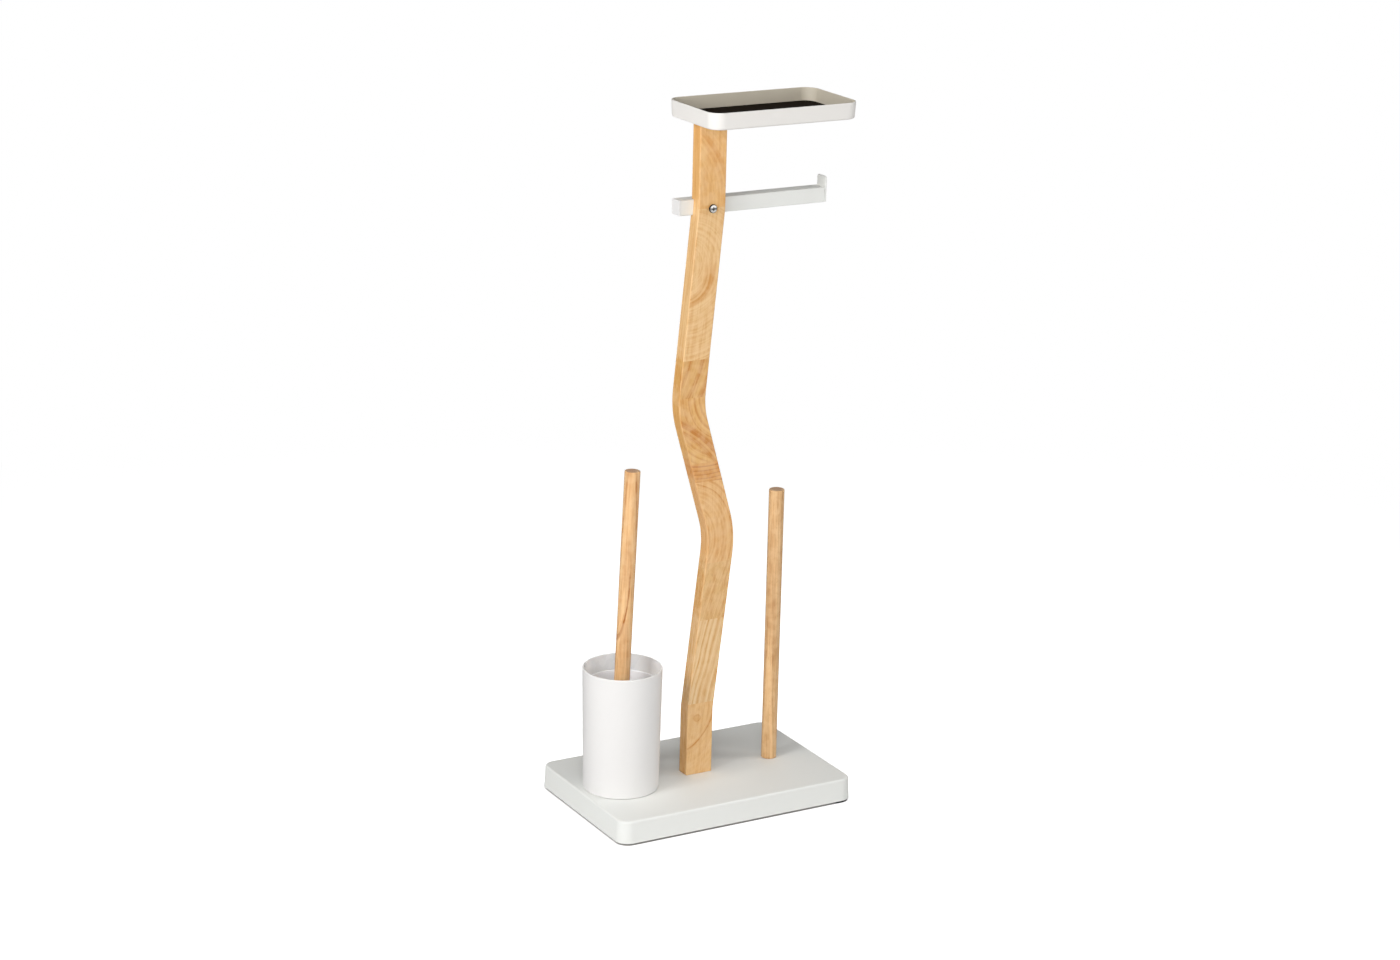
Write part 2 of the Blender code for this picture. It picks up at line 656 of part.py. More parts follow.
def build_bristles(material, parent, reach):
    """Strands in slanting rows, grown from the faces of the sleeve that carries them.

    The lowest ones splay down to the plane Z = 0. Returns how far the leaning brush reaches below it.
    """
    bm = bmesh.new()
    rings = []
    for row in range(STRAND_ROWS + 1):
        radius, height = hub_profile(row / STRAND_ROWS)
        ring = circle(radius, height, STRANDS_AROUND)
        twist = Matrix.Rotation(math.pi / STRANDS_AROUND * row, 3, "Z")
        rings.append([twist @ point for point in ring])
    floor = HUB_LIFT + HUB_DOME / 2
    bore_top = [Vector((point.x, point.y, 0.0)).normalized() * (HUB_BORE + FIT) for point in rings[-1]]
    inner = [[point + Vector((0, 0, height)) for point in bore_top] for height in (HUB_LIFT + HUB_LENGTH, floor)]
    rows = add_loft(bm, rings + inner)
    sleeve = {vert: row for row, verts in enumerate(rows[:STRAND_ROWS + 1]) for vert in verts}

    grown = []
    for face in bm.faces:
        levels = {sleeve.get(vert) for vert in face.verts}
        if len(face.verts) == 4 and None not in levels:
            grown.append(face)
    row_of = {face: min(sleeve[vert] for vert in face.verts) for face in grown}
    bmesh.ops.inset_individual(bm, faces=grown, thickness=STRAND_MARGIN, use_even_offset=True)
    levels = [row_of[face] for face in grown]
    tips = bmesh.ops.extrude_discrete_faces(bm, faces=grown)["faces"]
    for level, tip in zip(levels, tips):
        middle = tip.calc_center_median()
        outward = Vector((middle.x, middle.y, 0.0)).normalized()
        splay_share = max(0.0, 1 - (level / STRAND_ROWS) / SPLAY_ROWS_SHARE)
        splay = SPLAY_ANGLE * splay_share
        direction = outward * math.cos(splay) - Vector((0, 0, math.sin(splay)))
        length = (reach - middle.xy.length) / math.cos(splay)
        if splay > 0:
            half_tip = TIP_SHARE * (max(vert.co.z for vert in tip.verts) - middle.z)
            length = min(length, reach - HUB_RADIUS, (middle.z - half_tip) / math.sin(splay))
        for vert in tip.verts:
            vert.co = middle + (vert.co - middle) * TIP_SHARE + direction * length
    bmesh.ops.recalc_face_normals(bm, faces=bm.faces)
    lean = Matrix.Rotation(BRUSH_LEAN, 3, "Y")
    lowest = min((lean @ vert.co).z for vert in bm.verts)
    add_object("brush_bristles", bm, material, parent=parent)
    return -lowest


def build_brush(wood, white_plastic, bristle_plastic, zinc):
    rest = LINER_FLOOR_TOP + FIT
    foot_shift = -math.tan(BRUSH_LEAN) * (CUP_RIM - rest)
    axis = bpy.data.objects.new("brush_axis", None)
    axis.location = (CUP_X + foot_shift, ROW_Y, rest)
    axis.rotation_euler = (0, BRUSH_LEAN, 0)
    bpy.context.collection.objects.link(axis)

    reach = liner_radius(rest) - LINER_WALL - abs(foot_shift) - BRUSH_CLEARANCE
    axis.location.z += build_bristles(bristle_plastic, axis, reach)

    hub_top = HUB_LIFT + HUB_LENGTH
    stud_bore = STUD_DIAMETER / 2 + SCREW_FIT
    flange_bottom = hub_top + FIT
    flange_top = flange_bottom + CORE_FLANGE
    core_bottom = HUB_LIFT + HUB_DOME / 2 + FIT
    section = [
        (HUB_BORE, core_bottom),
        (HUB_BORE, flange_bottom),
        (CORE_FLANGE_RADIUS, flange_bottom),
        (CORE_FLANGE_RADIUS, flange_top),
        (stud_bore, flange_top),
        (stud_bore, flange_top - STUD_BITE - SCREW_TIP),
    ]
    add_object("brush_core", turned(section, STRANDS_AROUND), white_plastic, parent=axis)

    neck_bottom = flange_top + FIT
    socket_floor = neck_bottom + NECK_CONE
    neck_top = socket_floor + NECK_SOCKET
    socket = DOWEL_DIAMETER / 2 + FIT
    neck_radius = socket + NECK_WALL
    section = [
        (stud_bore, neck_bottom),
        (NECK_FOOT_RADIUS, neck_bottom),
        (neck_radius, socket_floor),
        (neck_radius, neck_top),
        (socket, neck_top),
        (socket, socket_floor),
        (stud_bore, socket_floor),
    ]
    add_object("brush_neck", turned(section, closed=True), white_plastic, parent=axis)

    stud_bottom = flange_top - STUD_BITE
    handle_bottom = socket_floor + FIT
    stud_top = handle_bottom + STUD_BITE
    stud = bmesh.new()
    add_cylinder(stud, STUD_DIAMETER / 2, stud_bottom, stud_top)
    add_object("brush_stud", stud, zinc, parent=axis)

    section = dowel_section(HANDLE_LENGTH, stud_bore, STUD_BITE + SCREW_TIP)
    add_object("brush_handle", turned(section), wood, (0, 0, handle_bottom), parent=axis)


def main():
    clear_scene()
    painted_steel = make_material("white_painted_steel", (0.80, 0.79, 0.76), 0.45)
    fibreboard = make_material("fibreboard", (0.42, 0.29, 0.17), 0.9)
    rubber = make_material("black_rubber", (0.02, 0.02, 0.02), 0.8)
    mat_rubber = make_material("black_mat", (0.015, 0.013, 0.011), 0.85)
    zinc = make_material("zinc_plated_steel", (0.60, 0.60, 0.60), 0.35, 1.0)
    chrome = make_material("chrome", (0.75, 0.74, 0.72), 0.12, 1.0)
    post_wood = make_material("honey_wood", (0.72, 0.44, 0.18), 0.5)
    dowel_wood = make_material("pale_wood", (0.74, 0.47, 0.23), 0.5)
    cup_plastic = make_material("white_plastic", (0.88, 0.87, 0.85), 0.4)
    liner_plastic = make_material("liner_plastic", (0.84, 0.84, 0.88), 0.35)
    bristle_plastic = make_material("bristle_plastic", (0.86, 0.86, 0.84), 0.6)

    build_base(painted_steel, fibreboard, rubber)
    build_base_screws(zinc)
    build_post(post_wood)
    build_tray(painted_steel, mat_rubber, zinc)
    build_bar(painted_steel, cup_plastic, chrome, zinc)
    build_rod(dowel_wood)
    build_cup(cup_plastic, zinc)
    build_liner(liner_plastic)
    build_brush(dowel_wood, cup_plastic, bristle_plastic, zinc)


main()
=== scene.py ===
# %% [markdown]
# # Dressing a bathroom butler
#
# The object is a free-standing bathroom butler: a low white base, an S-shaped wooden post that
# carries a tray and a square roll bar, a wooden rod for spare rolls, and a brush in a lined cup.
# A imported model gives every size, place and joint. This notebook leaves that model as it is and
# gives each piece its finer surface and its finish, then sets up a small studio round it.
#
# The first step loads the imported model. Its box is kept, to be set beside the dressed object's box
# at the end.

import math
import random

import bmesh
import bpy
from mathutils import Matrix, Vector


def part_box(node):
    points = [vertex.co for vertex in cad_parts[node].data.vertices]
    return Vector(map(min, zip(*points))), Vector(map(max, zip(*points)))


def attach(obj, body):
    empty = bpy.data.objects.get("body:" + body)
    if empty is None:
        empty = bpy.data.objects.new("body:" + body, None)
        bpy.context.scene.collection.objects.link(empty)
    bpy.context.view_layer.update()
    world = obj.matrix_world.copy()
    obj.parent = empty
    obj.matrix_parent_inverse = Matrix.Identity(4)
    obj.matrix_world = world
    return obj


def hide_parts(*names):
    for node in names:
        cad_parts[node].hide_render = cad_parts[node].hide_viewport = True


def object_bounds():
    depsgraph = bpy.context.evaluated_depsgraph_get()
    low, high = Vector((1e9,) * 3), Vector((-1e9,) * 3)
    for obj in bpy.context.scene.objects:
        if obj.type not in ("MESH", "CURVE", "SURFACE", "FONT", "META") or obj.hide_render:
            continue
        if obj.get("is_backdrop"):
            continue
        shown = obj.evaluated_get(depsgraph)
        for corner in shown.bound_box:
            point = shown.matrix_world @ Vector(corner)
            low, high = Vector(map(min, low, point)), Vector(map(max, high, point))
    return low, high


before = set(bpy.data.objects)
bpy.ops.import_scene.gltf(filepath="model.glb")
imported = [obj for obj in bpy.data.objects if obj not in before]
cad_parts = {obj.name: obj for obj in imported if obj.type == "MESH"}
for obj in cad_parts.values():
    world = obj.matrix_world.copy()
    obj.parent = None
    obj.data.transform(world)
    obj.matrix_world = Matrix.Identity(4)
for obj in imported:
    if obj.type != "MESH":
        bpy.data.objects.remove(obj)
cad_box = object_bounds()


def rounded(values, digits=4):
    return tuple(round(value, digits) for value in values)


print("nodes:", len(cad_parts), "box:", [rounded(corner) for corner in cad_box])

# %% [markdown]
# ## The camera
#
# A camera is described by where it stands, how far it turns, tilts and rolls, and how long its
# lens is. These values were solved from the object's straight edges and its three outer sizes,
# so the object falls where it does in the photograph, and no lens shift is needed.

# %% Place the camera
CAMERA_PLACE = Vector((-1.68180, -2.92495, 1.41769))
CAMERA_TURN = math.radians(29.833)
CAMERA_TILT = math.radians(17.165)
CAMERA_ROLL = math.radians(1.348)
CAMERA_LENS = 81.673
CAMERA_SENSOR = 36.0

camera = bpy.data.objects.new("camera", bpy.data.cameras.new("camera"))
bpy.context.scene.collection.objects.link(camera)
bpy.context.scene.camera = camera
camera.data.lens = CAMERA_LENS
camera.data.sensor_width = CAMERA_SENSOR
turned_to_object = Matrix.Rotation(-CAMERA_TURN, 4, "Z")
tilted_down = Matrix.Rotation(math.pi / 2 - CAMERA_TILT, 4, "X")
rolled = Matrix.Rotation(CAMERA_ROLL, 4, "Z")
camera.matrix_world = Matrix.Translation(CAMERA_PLACE) @ turned_to_object @ tilted_down @ rolled
print("camera looks along", rounded(camera.matrix_world.to_3x3() @ Vector((0, 0, -1)), 3))

# %% [markdown]
# ## Node graphs in a few words
#
# A material is a small graph of nodes. Most lines below add one node with its settings and its
# inputs, so that a graph reads from top to bottom. An input is either a plain value or the output
# socket of an earlier node, which is then linked. A socket knows the graph it belongs to, so the
# short helpers for sums and products need no mention of it.

# %% Helpers for node graphs
def fill_input(socket, value):
    """Links the socket to another socket, or sets its plain value."""
    if isinstance(value, bpy.types.NodeSocket):
        socket.id_data.links.new(value, socket)
    elif socket.type == "RGBA" and len(value) == 3:
        socket.default_value = (*value, 1.0)
    else:
        socket.default_value = value


def add_node(tree, kind, inputs, **settings):
    made = tree.nodes.new(kind)
    for name, value in settings.items():
        setattr(made, name, value)
    for name, value in inputs.items():
        fill_input(made.inputs[name], value)
    return made


def tree_of(values):
    """The graph that the first socket among the values belongs to."""
    return next(value.id_data for value in values if isinstance(value, bpy.types.NodeSocket))


def maths(operation, *values):
    """A Math node on sockets or numbers, as its output socket."""
    inputs = dict(enumerate(values))
    return add_node(tree_of(values), "ShaderNodeMath", inputs, operation=operation).outputs[0]


def chain(operation, values):
    result = values[0]
    for value in values[1:]:
        result = maths(operation, result, value)
    return result


def plus(*values):
    return chain("ADD", values)


def minus(first, second):
    return maths("SUBTRACT", first, second)


def times(*values):
    return chain("MULTIPLY", values)


print("sums and products are ready")

# %% Helpers for vectors and noise
NOISE_RANGE = (0.3, 0.7)    # where most values of a noise lie


def vector_maths(operation, *values):
    inputs = dict(enumerate(values))
    return add_node(tree_of(values), "ShaderNodeVectorMath", inputs, operation=operation).outputs["Vector"]


def length_of(vector):
    return add_node(vector.id_data, "ShaderNodeVectorMath", {0: vector}, operation="LENGTH").outputs["Value"]


def parts_of(vector):
    """The X, Y and Z of a vector, as sockets."""
    return add_node(vector.id_data, "ShaderNodeSeparateXYZ", {"Vector": vector}).outputs


def rescale(value, low, high, to_low=0.0, to_high=1.0):
    """Maps low..high smoothly to to_low..to_high, and stays at the ends beyond them."""
    inputs = {"Value": value, "From Min": low, "From Max": high, "To Min": to_low, "To Max": to_high}
    made = add_node(value.id_data, "ShaderNodeMapRange", inputs, interpolation_type="SMOOTHSTEP")
    return made.outputs["Result"]


def swing(value, low, high):
    """Spreads a noise over low..high."""
    return rescale(value, *NOISE_RANGE, low, high)


def keep_under(mask, share):
    """A factor that is 1 outside the mask and sinks to share inside it."""
    return rescale(mask, 0.0, 1.0, 1.0, share)


def blend_colours(share, first, second, **settings):
    inputs = {0: share, 6: first, 7: second}
    return add_node(share.id_data, "ShaderNodeMix", inputs, data_type="RGBA", **settings).outputs[2]


def noise(place, scale, detail=2.0, roughness=0.5, output="Fac"):
    inputs = {"Vector": place, "Scale": scale, "Detail": detail, "Roughness": roughness}
    return add_node(place.id_data, "ShaderNodeTexNoise", inputs).outputs[output]


def object_place(tree):
    """The point on the piece in its own frame, so that the pattern moves with the piece."""
    return tree.nodes.new("ShaderNodeTexCoord").outputs["Object"]


print("most noise lies in", NOISE_RANGE)

# %% [markdown]
# ## Groups: effects that several finishes share
#
# A node group is a graph with named inputs and outputs that is built once and placed in many
# materials. It works out colours, masks and heights only. The shader itself stays in the material,
# where its gloss and metal values are easy to see.

# %% Open and place a group
def kind_of(value):
    """The type of socket for a plain value: a colour has four numbers, a vector three."""
    if isinstance(value, float):
        return "NodeSocketFloat"
    return "NodeSocketColor" if len(value) == 4 else "NodeSocketVector"


def open_group(name, inputs, outputs):
    """A new group, with its inputs as sockets to read and its outputs as sockets to fill."""
    group = bpy.data.node_groups.new(name, "ShaderNodeTree")
    for label, value in inputs.items():
        socket = group.interface.new_socket(label, in_out="INPUT", socket_type=kind_of(value))
        socket.default_value = value
    for label, kind in outputs.items():
        group.interface.new_socket(label, in_out="OUTPUT", socket_type="NodeSocket" + kind)
    print("group:", name, "with", len(inputs), "inputs and", len(outputs), "outputs")
    return group, group.nodes.new("NodeGroupInput").outputs, group.nodes.new("NodeGroupOutput").inputs


def place_group(tree, group, inputs):
    placed = tree.nodes.new("ShaderNodeGroup")
    placed.node_tree = group
    for name, value in inputs.items():
        fill_input(placed.inputs[name], value)
    return placed.outputs


print("group helpers are ready")

# %% [markdown]
# ### Worn edges
#
# Paint runs thin on a sharp bend, and hands polish the arrises of wood and plastic first. The mesh
# code further on writes a number called edge on each point, from 0 on flat faces to 1 on a sharp
# outer bend. This group turns it into an uneven mask. On wood the mask also places a paler arris that
# is partly a painted highlight.

# %% Group: worn edges
WEAR_SETS_IN = (0.15, 0.9)  # values of edge
PATCH_DETAIL = 3.0
PATCH_RANGE = (0.35, 0.65)
PATCH_WEAR = (0.35, 1.0)

worn_edges, given, gives = open_group("worn edges", {"Amount": 0.5, "Patch Scale": 60.0}, {"Mask": "Float"})
edge = add_node(worn_edges, "ShaderNodeAttribute", {}, attribute_name="edge").outputs["Fac"]
patches = noise(object_place(worn_edges), given["Patch Scale"], PATCH_DETAIL)
on_edges = times(rescale(edge, *WEAR_SETS_IN), rescale(patches, *PATCH_RANGE, *PATCH_WEAR))
fill_input(gives["Mask"], times(on_edges, given["Amount"]))

# %% [markdown]
# ### Fine skin
#
# Powder coat, moulded plastic and rubber all have a fine texture on them, and a slower cloudiness
# where the surface was handled or cooled unevenly. They differ only in the size of the grains and
# in how much the gloss varies, so one group serves them all.

# %% Group: fine skin
GRAIN_NOISE = (2.0, 0.6)    # detail and roughness
CLOUD_NOISE = (4.0, 0.55)

fine_skin, given, gives = open_group(
    "fine skin",
    {"Grain Scale": 900.0, "Cloud Scale": 14.0, "Roughness": 0.5, "Roughness Spread": 0.1},
    {"Height": "Float", "Roughness": "Float", "Cloud": "Float"},
)
place = object_place(fine_skin)
cloud = swing(noise(place, given["Cloud Scale"], *CLOUD_NOISE), 0.0, 1.0)
spread = times(minus(cloud, 0.5), given["Roughness Spread"])
fill_input(gives["Height"], noise(place, given["Grain Scale"], *GRAIN_NOISE))
fill_input(gives["Roughness"], plus(given["Roughness"], spread))
fill_input(gives["Cloud"], cloud)

# %% [markdown]
# ### Wood
#
# The wood is pale and honey coloured, with soft growth rings, short open pores, and now and then a
# darker streak or a pin knot. Growth rings are shells round the middle of the tree, so the pattern
# that a sawn face shows depends only on where that middle lay. The group measures the distance
# from a middle line. A line along the block gives long stripes, and a line that comes out of the
# wide face gives arches. The narrow faces of a board show upright lines whatever the wide face
# shows, so they count their rings from front to back. The ends of a rod show darker end grain.

# %% Group: sawn wood
DRIFT_SCALE = 26.0          # of the slow wave that bends all lines
SIDE_FACING = (0.5, 0.85)   # how far a face looks sideways before it counts as narrow
IN_RING_PLANE = (1.0, 1.0, 0.0)
IN_WIDE_FACE = (1.0, 0.0, 1.0)

sawn_wood, given, gives = open_group("sawn wood", {
    "Pale": (0.70, 0.40, 0.14, 1.0), "Deep": (0.55, 0.24, 0.06, 1.0),
    "Tree Middle": (0.0, 0.0, 0.0), "Tree Turn": (0.0, 0.0, 0.0), "Tree Squash": (1.0, 1.0, 1.0),
    "Ring Width": 0.004, "Ring Depth": 0.5, "Late Share": 0.6, "Wander": 0.006, "Line Depth": 1.0,
    "Streak Middle": (0.0, 0.0, 0.0), "Streak Radius": 0.0, "Streak Width": 0.004,
    "Streak Depth": 0.0, "Streak Half": 0.0, "Knot Radius": 0.0001,
    "Fibre Lean": 0.0, "Fibre Depth": 1.0, "Pores": 0.5,
    "Edge Grain": 0.0, "Edge Tone": 0.0, "End Grain": 0.0,
}, {"Color": "Color", "Roughness": "Float", "Height": "Float"})
place = object_place(sawn_wood)
facing = parts_of(sawn_wood.nodes.new("ShaderNodeTexCoord").outputs["Normal"])
wave = vector_maths("SUBTRACT", noise(place, DRIFT_SCALE, 1.0, output="Color"), (0.5, 0.5, 0.5))
wave_inputs = {0: wave, "Scale": given["Wander"]}
drift = add_node(sawn_wood, "ShaderNodeVectorMath", wave_inputs, operation="SCALE").outputs["Vector"]
drifted = vector_maths("ADD", place, drift)


def lines_across(distance, lines_a_metre):
    """Uneven thin lines that follow a distance, as a noise."""
    inputs = {"W": distance, "Scale": lines_a_metre, "Detail": 2.0}
    return add_node(sawn_wood, "ShaderNodeTexNoise", inputs, noise_dimensions="1D").outputs["Fac"]


print("wood nodes that find the place:", len(sawn_wood.nodes))

# %% Wood: growth rings
EDGE_STRETCH = 1.6          # rings stand this much closer on a narrow face
EDGE_START = 1.0            # keeps their distance above 0
LATE_START = 0.9            # of the way through a ring, less the late share
LATE_PEAK = 0.88            # where the late wood is darkest
RING_TONES = (0.5, 1.0)     # no two rings are equally dark
FINE_LINES = 340.0          # a metre
FINE_TONES = (-0.28, 0.32)
NARROW_SHARE = 0.25         # of the rings' depth, on a narrow face

moved = vector_maths("SUBTRACT", place, given["Tree Middle"])
turning = {"Vector": moved, "Rotation": given["Tree Turn"]}
aligned = add_node(sawn_wood, "ShaderNodeVectorRotate", turning, rotation_type="EULER_XYZ").outputs[0]
wandered = vector_maths("ADD", vector_maths("MULTIPLY", aligned, given["Tree Squash"]), drift)
from_middle = length_of(vector_maths("MULTIPLY", wandered, IN_RING_PLANE))
from_back = plus(times(parts_of(drifted)["Y"], EDGE_STRETCH), EDGE_START)
sideways = rescale(maths("ABSOLUTE", facing["X"]), *SIDE_FACING)
narrow_face = times(sideways, given["Edge Grain"])
either = {0: narrow_face, 2: from_middle, 3: from_back}
depth_in_tree = add_node(sawn_wood, "ShaderNodeMix", either).outputs[0]

ring_count = maths("DIVIDE", depth_in_tree, given["Ring Width"])
through_ring = maths("FRACT", ring_count)
rise = rescale(through_ring, minus(LATE_START, given["Late Share"]), LATE_PEAK)
fall = rescale(through_ring, LATE_PEAK, 1.0, 1.0, 0.0)
whole_ring = {"W": maths("FLOOR", ring_count)}
own_tone = add_node(sawn_wood, "ShaderNodeTexWhiteNoise", whole_ring, noise_dimensions="1D").outputs["Value"]
late_wood = times(rise, fall, rescale(own_tone, 0.0, 1.0, *RING_TONES))
fine_lines = times(swing(lines_across(depth_in_tree, FINE_LINES), *FINE_TONES), given["Line Depth"])
ring_depth = times(given["Ring Depth"], keep_under(narrow_face, NARROW_SHARE))
ring_tone = plus(times(late_wood, ring_depth), fine_lines)
print("wood nodes with rings:", len(sawn_wood.nodes))

# %% [markdown]
# A pin knot is a dark disc with a darker rim, where a twig left the stem. A streak is an arc of
# darker wood. On a wide face it is drawn as part of a large circle, with a few thin lines in it,
# and it can be kept to the circle's lower or upper half. The rings fade where it lies.

# %% Wood: knot and streak
KNOT_DISC = (0.75, 1.0, 0.55, 0.0)
KNOT_RIM_AT = 0.85
KNOT_RIM = (0.0, 0.25, 0.6, 0.0)
STREAK_SIDES = (0.35, 1.0, 1.0, 0.0)
STREAK_LINES = 320.0        # a metre
STREAK_TONES = (0.36, 0.58, 0.25, 1.0)
BREAK_SCALE = 30.0
BREAK_TONES = (0.3, 0.6, 0.88, 1.0)
HALF_FADE = (-0.012, 0.0)
RINGS_LEFT = 0.1            # under a streak

from_knot = length_of(vector_maths("MULTIPLY", aligned, IN_RING_PLANE))
knot_share = maths("DIVIDE", from_knot, given["Knot Radius"])
knot_rim = rescale(maths("ABSOLUTE", minus(knot_share, KNOT_RIM_AT)), *KNOT_RIM)
knot = plus(rescale(knot_share, *KNOT_DISC), knot_rim)

from_streak = vector_maths("SUBTRACT", drifted, given["Streak Middle"])
off_streak = minus(length_of(vector_maths("MULTIPLY", from_streak, IN_WIDE_FACE)), given["Streak Radius"])
streak_share = maths("DIVIDE", maths("ABSOLUTE", off_streak), given["Streak Width"])
streak_line = rescale(lines_across(off_streak, STREAK_LINES), *STREAK_TONES)
streak_break = rescale(noise(place, BREAK_SCALE, 1.0), *BREAK_TONES)
streak_half = rescale(times(parts_of(from_streak)["Z"], given["Streak Half"]), *HALF_FADE)
wide_face = minus(1.0, narrow_face)
streak_strength = maths("MINIMUM", given["Streak Depth"], 1.0)
streak_cover = times(rescale(streak_share, *STREAK_SIDES), streak_half, wide_face, streak_strength)
streak_tone = times(streak_cover, streak_line, streak_break, given["Streak Depth"])
ring_tone = times(ring_tone, keep_under(streak_cover, RINGS_LEFT))
print("wood nodes with a streak:", len(sawn_wood.nodes))

# %% [markdown]
# Fibres and pores run along the length of the block, or lean a little where the block was sawn
# across them. Fine fibres, coarse dashes and pores are three noises that are stretched along them.

# %% Wood: fibres and pores
FIBRES = (900.0, 24.0, 2.0)     # scale across, scale along and detail
FIBRE_TONES = (-0.20, 0.24)
DASHES = (430.0, 20.0, 2.0)
DASH_TONES = (-0.26, 0.30)
PORES = (1300.0, 260.0, 1.0)
PORE_RANGE = (0.58, 0.70)
FIBRES_LEFT = 0.3               # under a streak

leaning = {"Vector": place, "Angle": given["Fibre Lean"]}
fibre_place = add_node(sawn_wood, "ShaderNodeVectorRotate", leaning, rotation_type="Y_AXIS").outputs[0]


def stretched_noise(across_scale, along_scale, detail):
    stretched = vector_maths("MULTIPLY", fibre_place, (across_scale, across_scale, along_scale))
    return noise(stretched, 1.0, detail)


fibres = stretched_noise(*FIBRES)
fibre_tone = plus(swing(fibres, *FIBRE_TONES), swing(stretched_noise(*DASHES), *DASH_TONES))
fibre_tone = times(fibre_tone, times(given["Fibre Depth"], keep_under(streak_cover, FIBRES_LEFT)))
pore_mask = times(rescale(stretched_noise(*PORES), *PORE_RANGE), given["Pores"])
print("wood nodes with fibres:", len(sawn_wood.nodes))

# %% [markdown]
# All tones add up to one number that mixes the pale colour with the deep one. It may go a little
# below 0 or above 1, so that single fibres are paler or darker than both.

# %% Wood: colour, gloss and height
BROAD_SCALE = 16.0
BROAD_TONES = (-0.08, 0.10)
TONE_LOWEST = -0.2
TONE_HIGHEST = 1.5
PORE_SHARE = 0.45
PORE_BROWN = (0.42, 0.18, 0.05)
END_FACING = (0.75, 0.97)
END_BROWN = (0.30, 0.15, 0.065)
WOOD_ROUGHNESS = 0.44
PORE_ROUGHER = 0.25
FIBRE_ROUGHER = 0.2
PORE_SINK = 0.8             # heights are shares of the bump's depth
LATE_SINK = 0.15
FIBRE_RISE = 0.3

# The tone added on sideways faces darkens the narrow faces: painted shade.
broad = plus(swing(noise(place, BROAD_SCALE), *BROAD_TONES), times(sideways, given["Edge Tone"]))
tone = plus(plus(ring_tone, streak_tone), plus(broad, fibre_tone))
tone = maths("MAXIMUM", maths("MINIMUM", plus(tone, knot), TONE_HIGHEST), TONE_LOWEST)
wood_colour = blend_colours(tone, given["Pale"], given["Deep"], clamp_factor=False)
wood_colour = blend_colours(times(pore_mask, PORE_SHARE), wood_colour, PORE_BROWN)
end_mask = rescale(maths("ABSOLUTE", facing["Z"]), *END_FACING)
wood_colour = blend_colours(times(end_mask, given["End Grain"]), wood_colour, END_BROWN)
fill_input(gives["Color"], wood_colour)
roughness = plus(WOOD_ROUGHNESS, times(pore_mask, PORE_ROUGHER))
fill_input(gives["Roughness"], plus(roughness, times(fibre_tone, FIBRE_ROUGHER)))
sunk = plus(times(pore_mask, PORE_SINK), times(late_wood, LATE_SINK))
fill_input(gives["Height"], minus(times(fibres, FIBRE_RISE), sunk))
print("wood nodes in all:", len(sawn_wood.nodes))

# %% [markdown]
# ## Finishes
#
# Each finish is one material with one Principled shader. Values that are the same all over the
# piece, such as metal or coat, sit on the shader itself. Groups only bring what changes from place
# to place.

# %% Start a material
CLOUD_SHARE = 0.3           # of the shade's colour, in the clouds
WORN_SMOOTHER = 0.15


def new_material(name, **values):
    """A material with its shader's plain values set, as (material, tree, shader)."""
    material = bpy.data.materials.new(name)
    material.use_nodes = True
    shader = material.node_tree.nodes["Principled BSDF"]
    for label, value in values.items():
        fill_input(shader.inputs[label.replace("_", " ")], value)
    return material, material.node_tree, shader


def add_bump(shader, height, distance, strength=1.0):
    """Feeds a height to the shader's normal. distance is in metres."""
    inputs = {"Height": height, "Distance": distance, "Strength": strength}
    fill_input(shader.inputs["Normal"], add_node(height.id_data, "ShaderNodeBump", inputs).outputs["Normal"])


def skin_material(name, colour, shade, grain, depth, cloud, roughness, spread, wear, **values):
    """A plain coloured surface with a fine skin. shade is the colour of its clouds and worn edges."""
    material, tree, shader = new_material(name, **values)
    skin = place_group(tree, fine_skin, {
        "Grain Scale": grain, "Cloud Scale": cloud, "Roughness": roughness, "Roughness Spread": spread,
    })
    worn = place_group(tree, worn_edges, {"Amount": wear})["Mask"]
    shaded = maths("MAXIMUM", times(skin["Cloud"], CLOUD_SHARE), worn)
    fill_input(shader.inputs["Base Color"], blend_colours(shaded, colour, shade))
    fill_input(shader.inputs["Roughness"], minus(skin["Roughness"], times(worn, WORN_SMOOTHER)))
    add_bump(shader, skin["Height"], depth)
    print("finish:", name)
    return material


print("material helpers are ready")

# %% [markdown]
# The base, the tray and the roll bar are sheet steel with a white powder coat, a little warmer on
# the tray. Inside the tray the paint is given a darker, yellower colour, which is painted shade. The
# powder melts into a very fine orange peel, which blurs reflections without making the surface
# dull. The cup is satin moulded plastic. Its inside was shaped by the polished core of the mould, and
# the wall is thin enough to let light from outside glow through, which subsurface scattering gives.
# Its inside also has a much whiter colour than its outside, which is painted light. The liner is
# glossier, with a hint of blue, and its inside has a whiter colour, which is painted light. The brush
# head is milky nylon.

# %% White finishes
POWDER = dict(grain=1500.0, depth=0.00004, cloud=9.0, roughness=0.56, spread=0.08, wear=0.35)
CUP = dict(grain=2200.0, depth=0.00002, cloud=12.0, roughness=0.50, spread=0.08, wear=0.25)
LINER = dict(grain=1800.0, depth=0.00001, cloud=20.0, roughness=0.36, spread=0.1, wear=0.2)

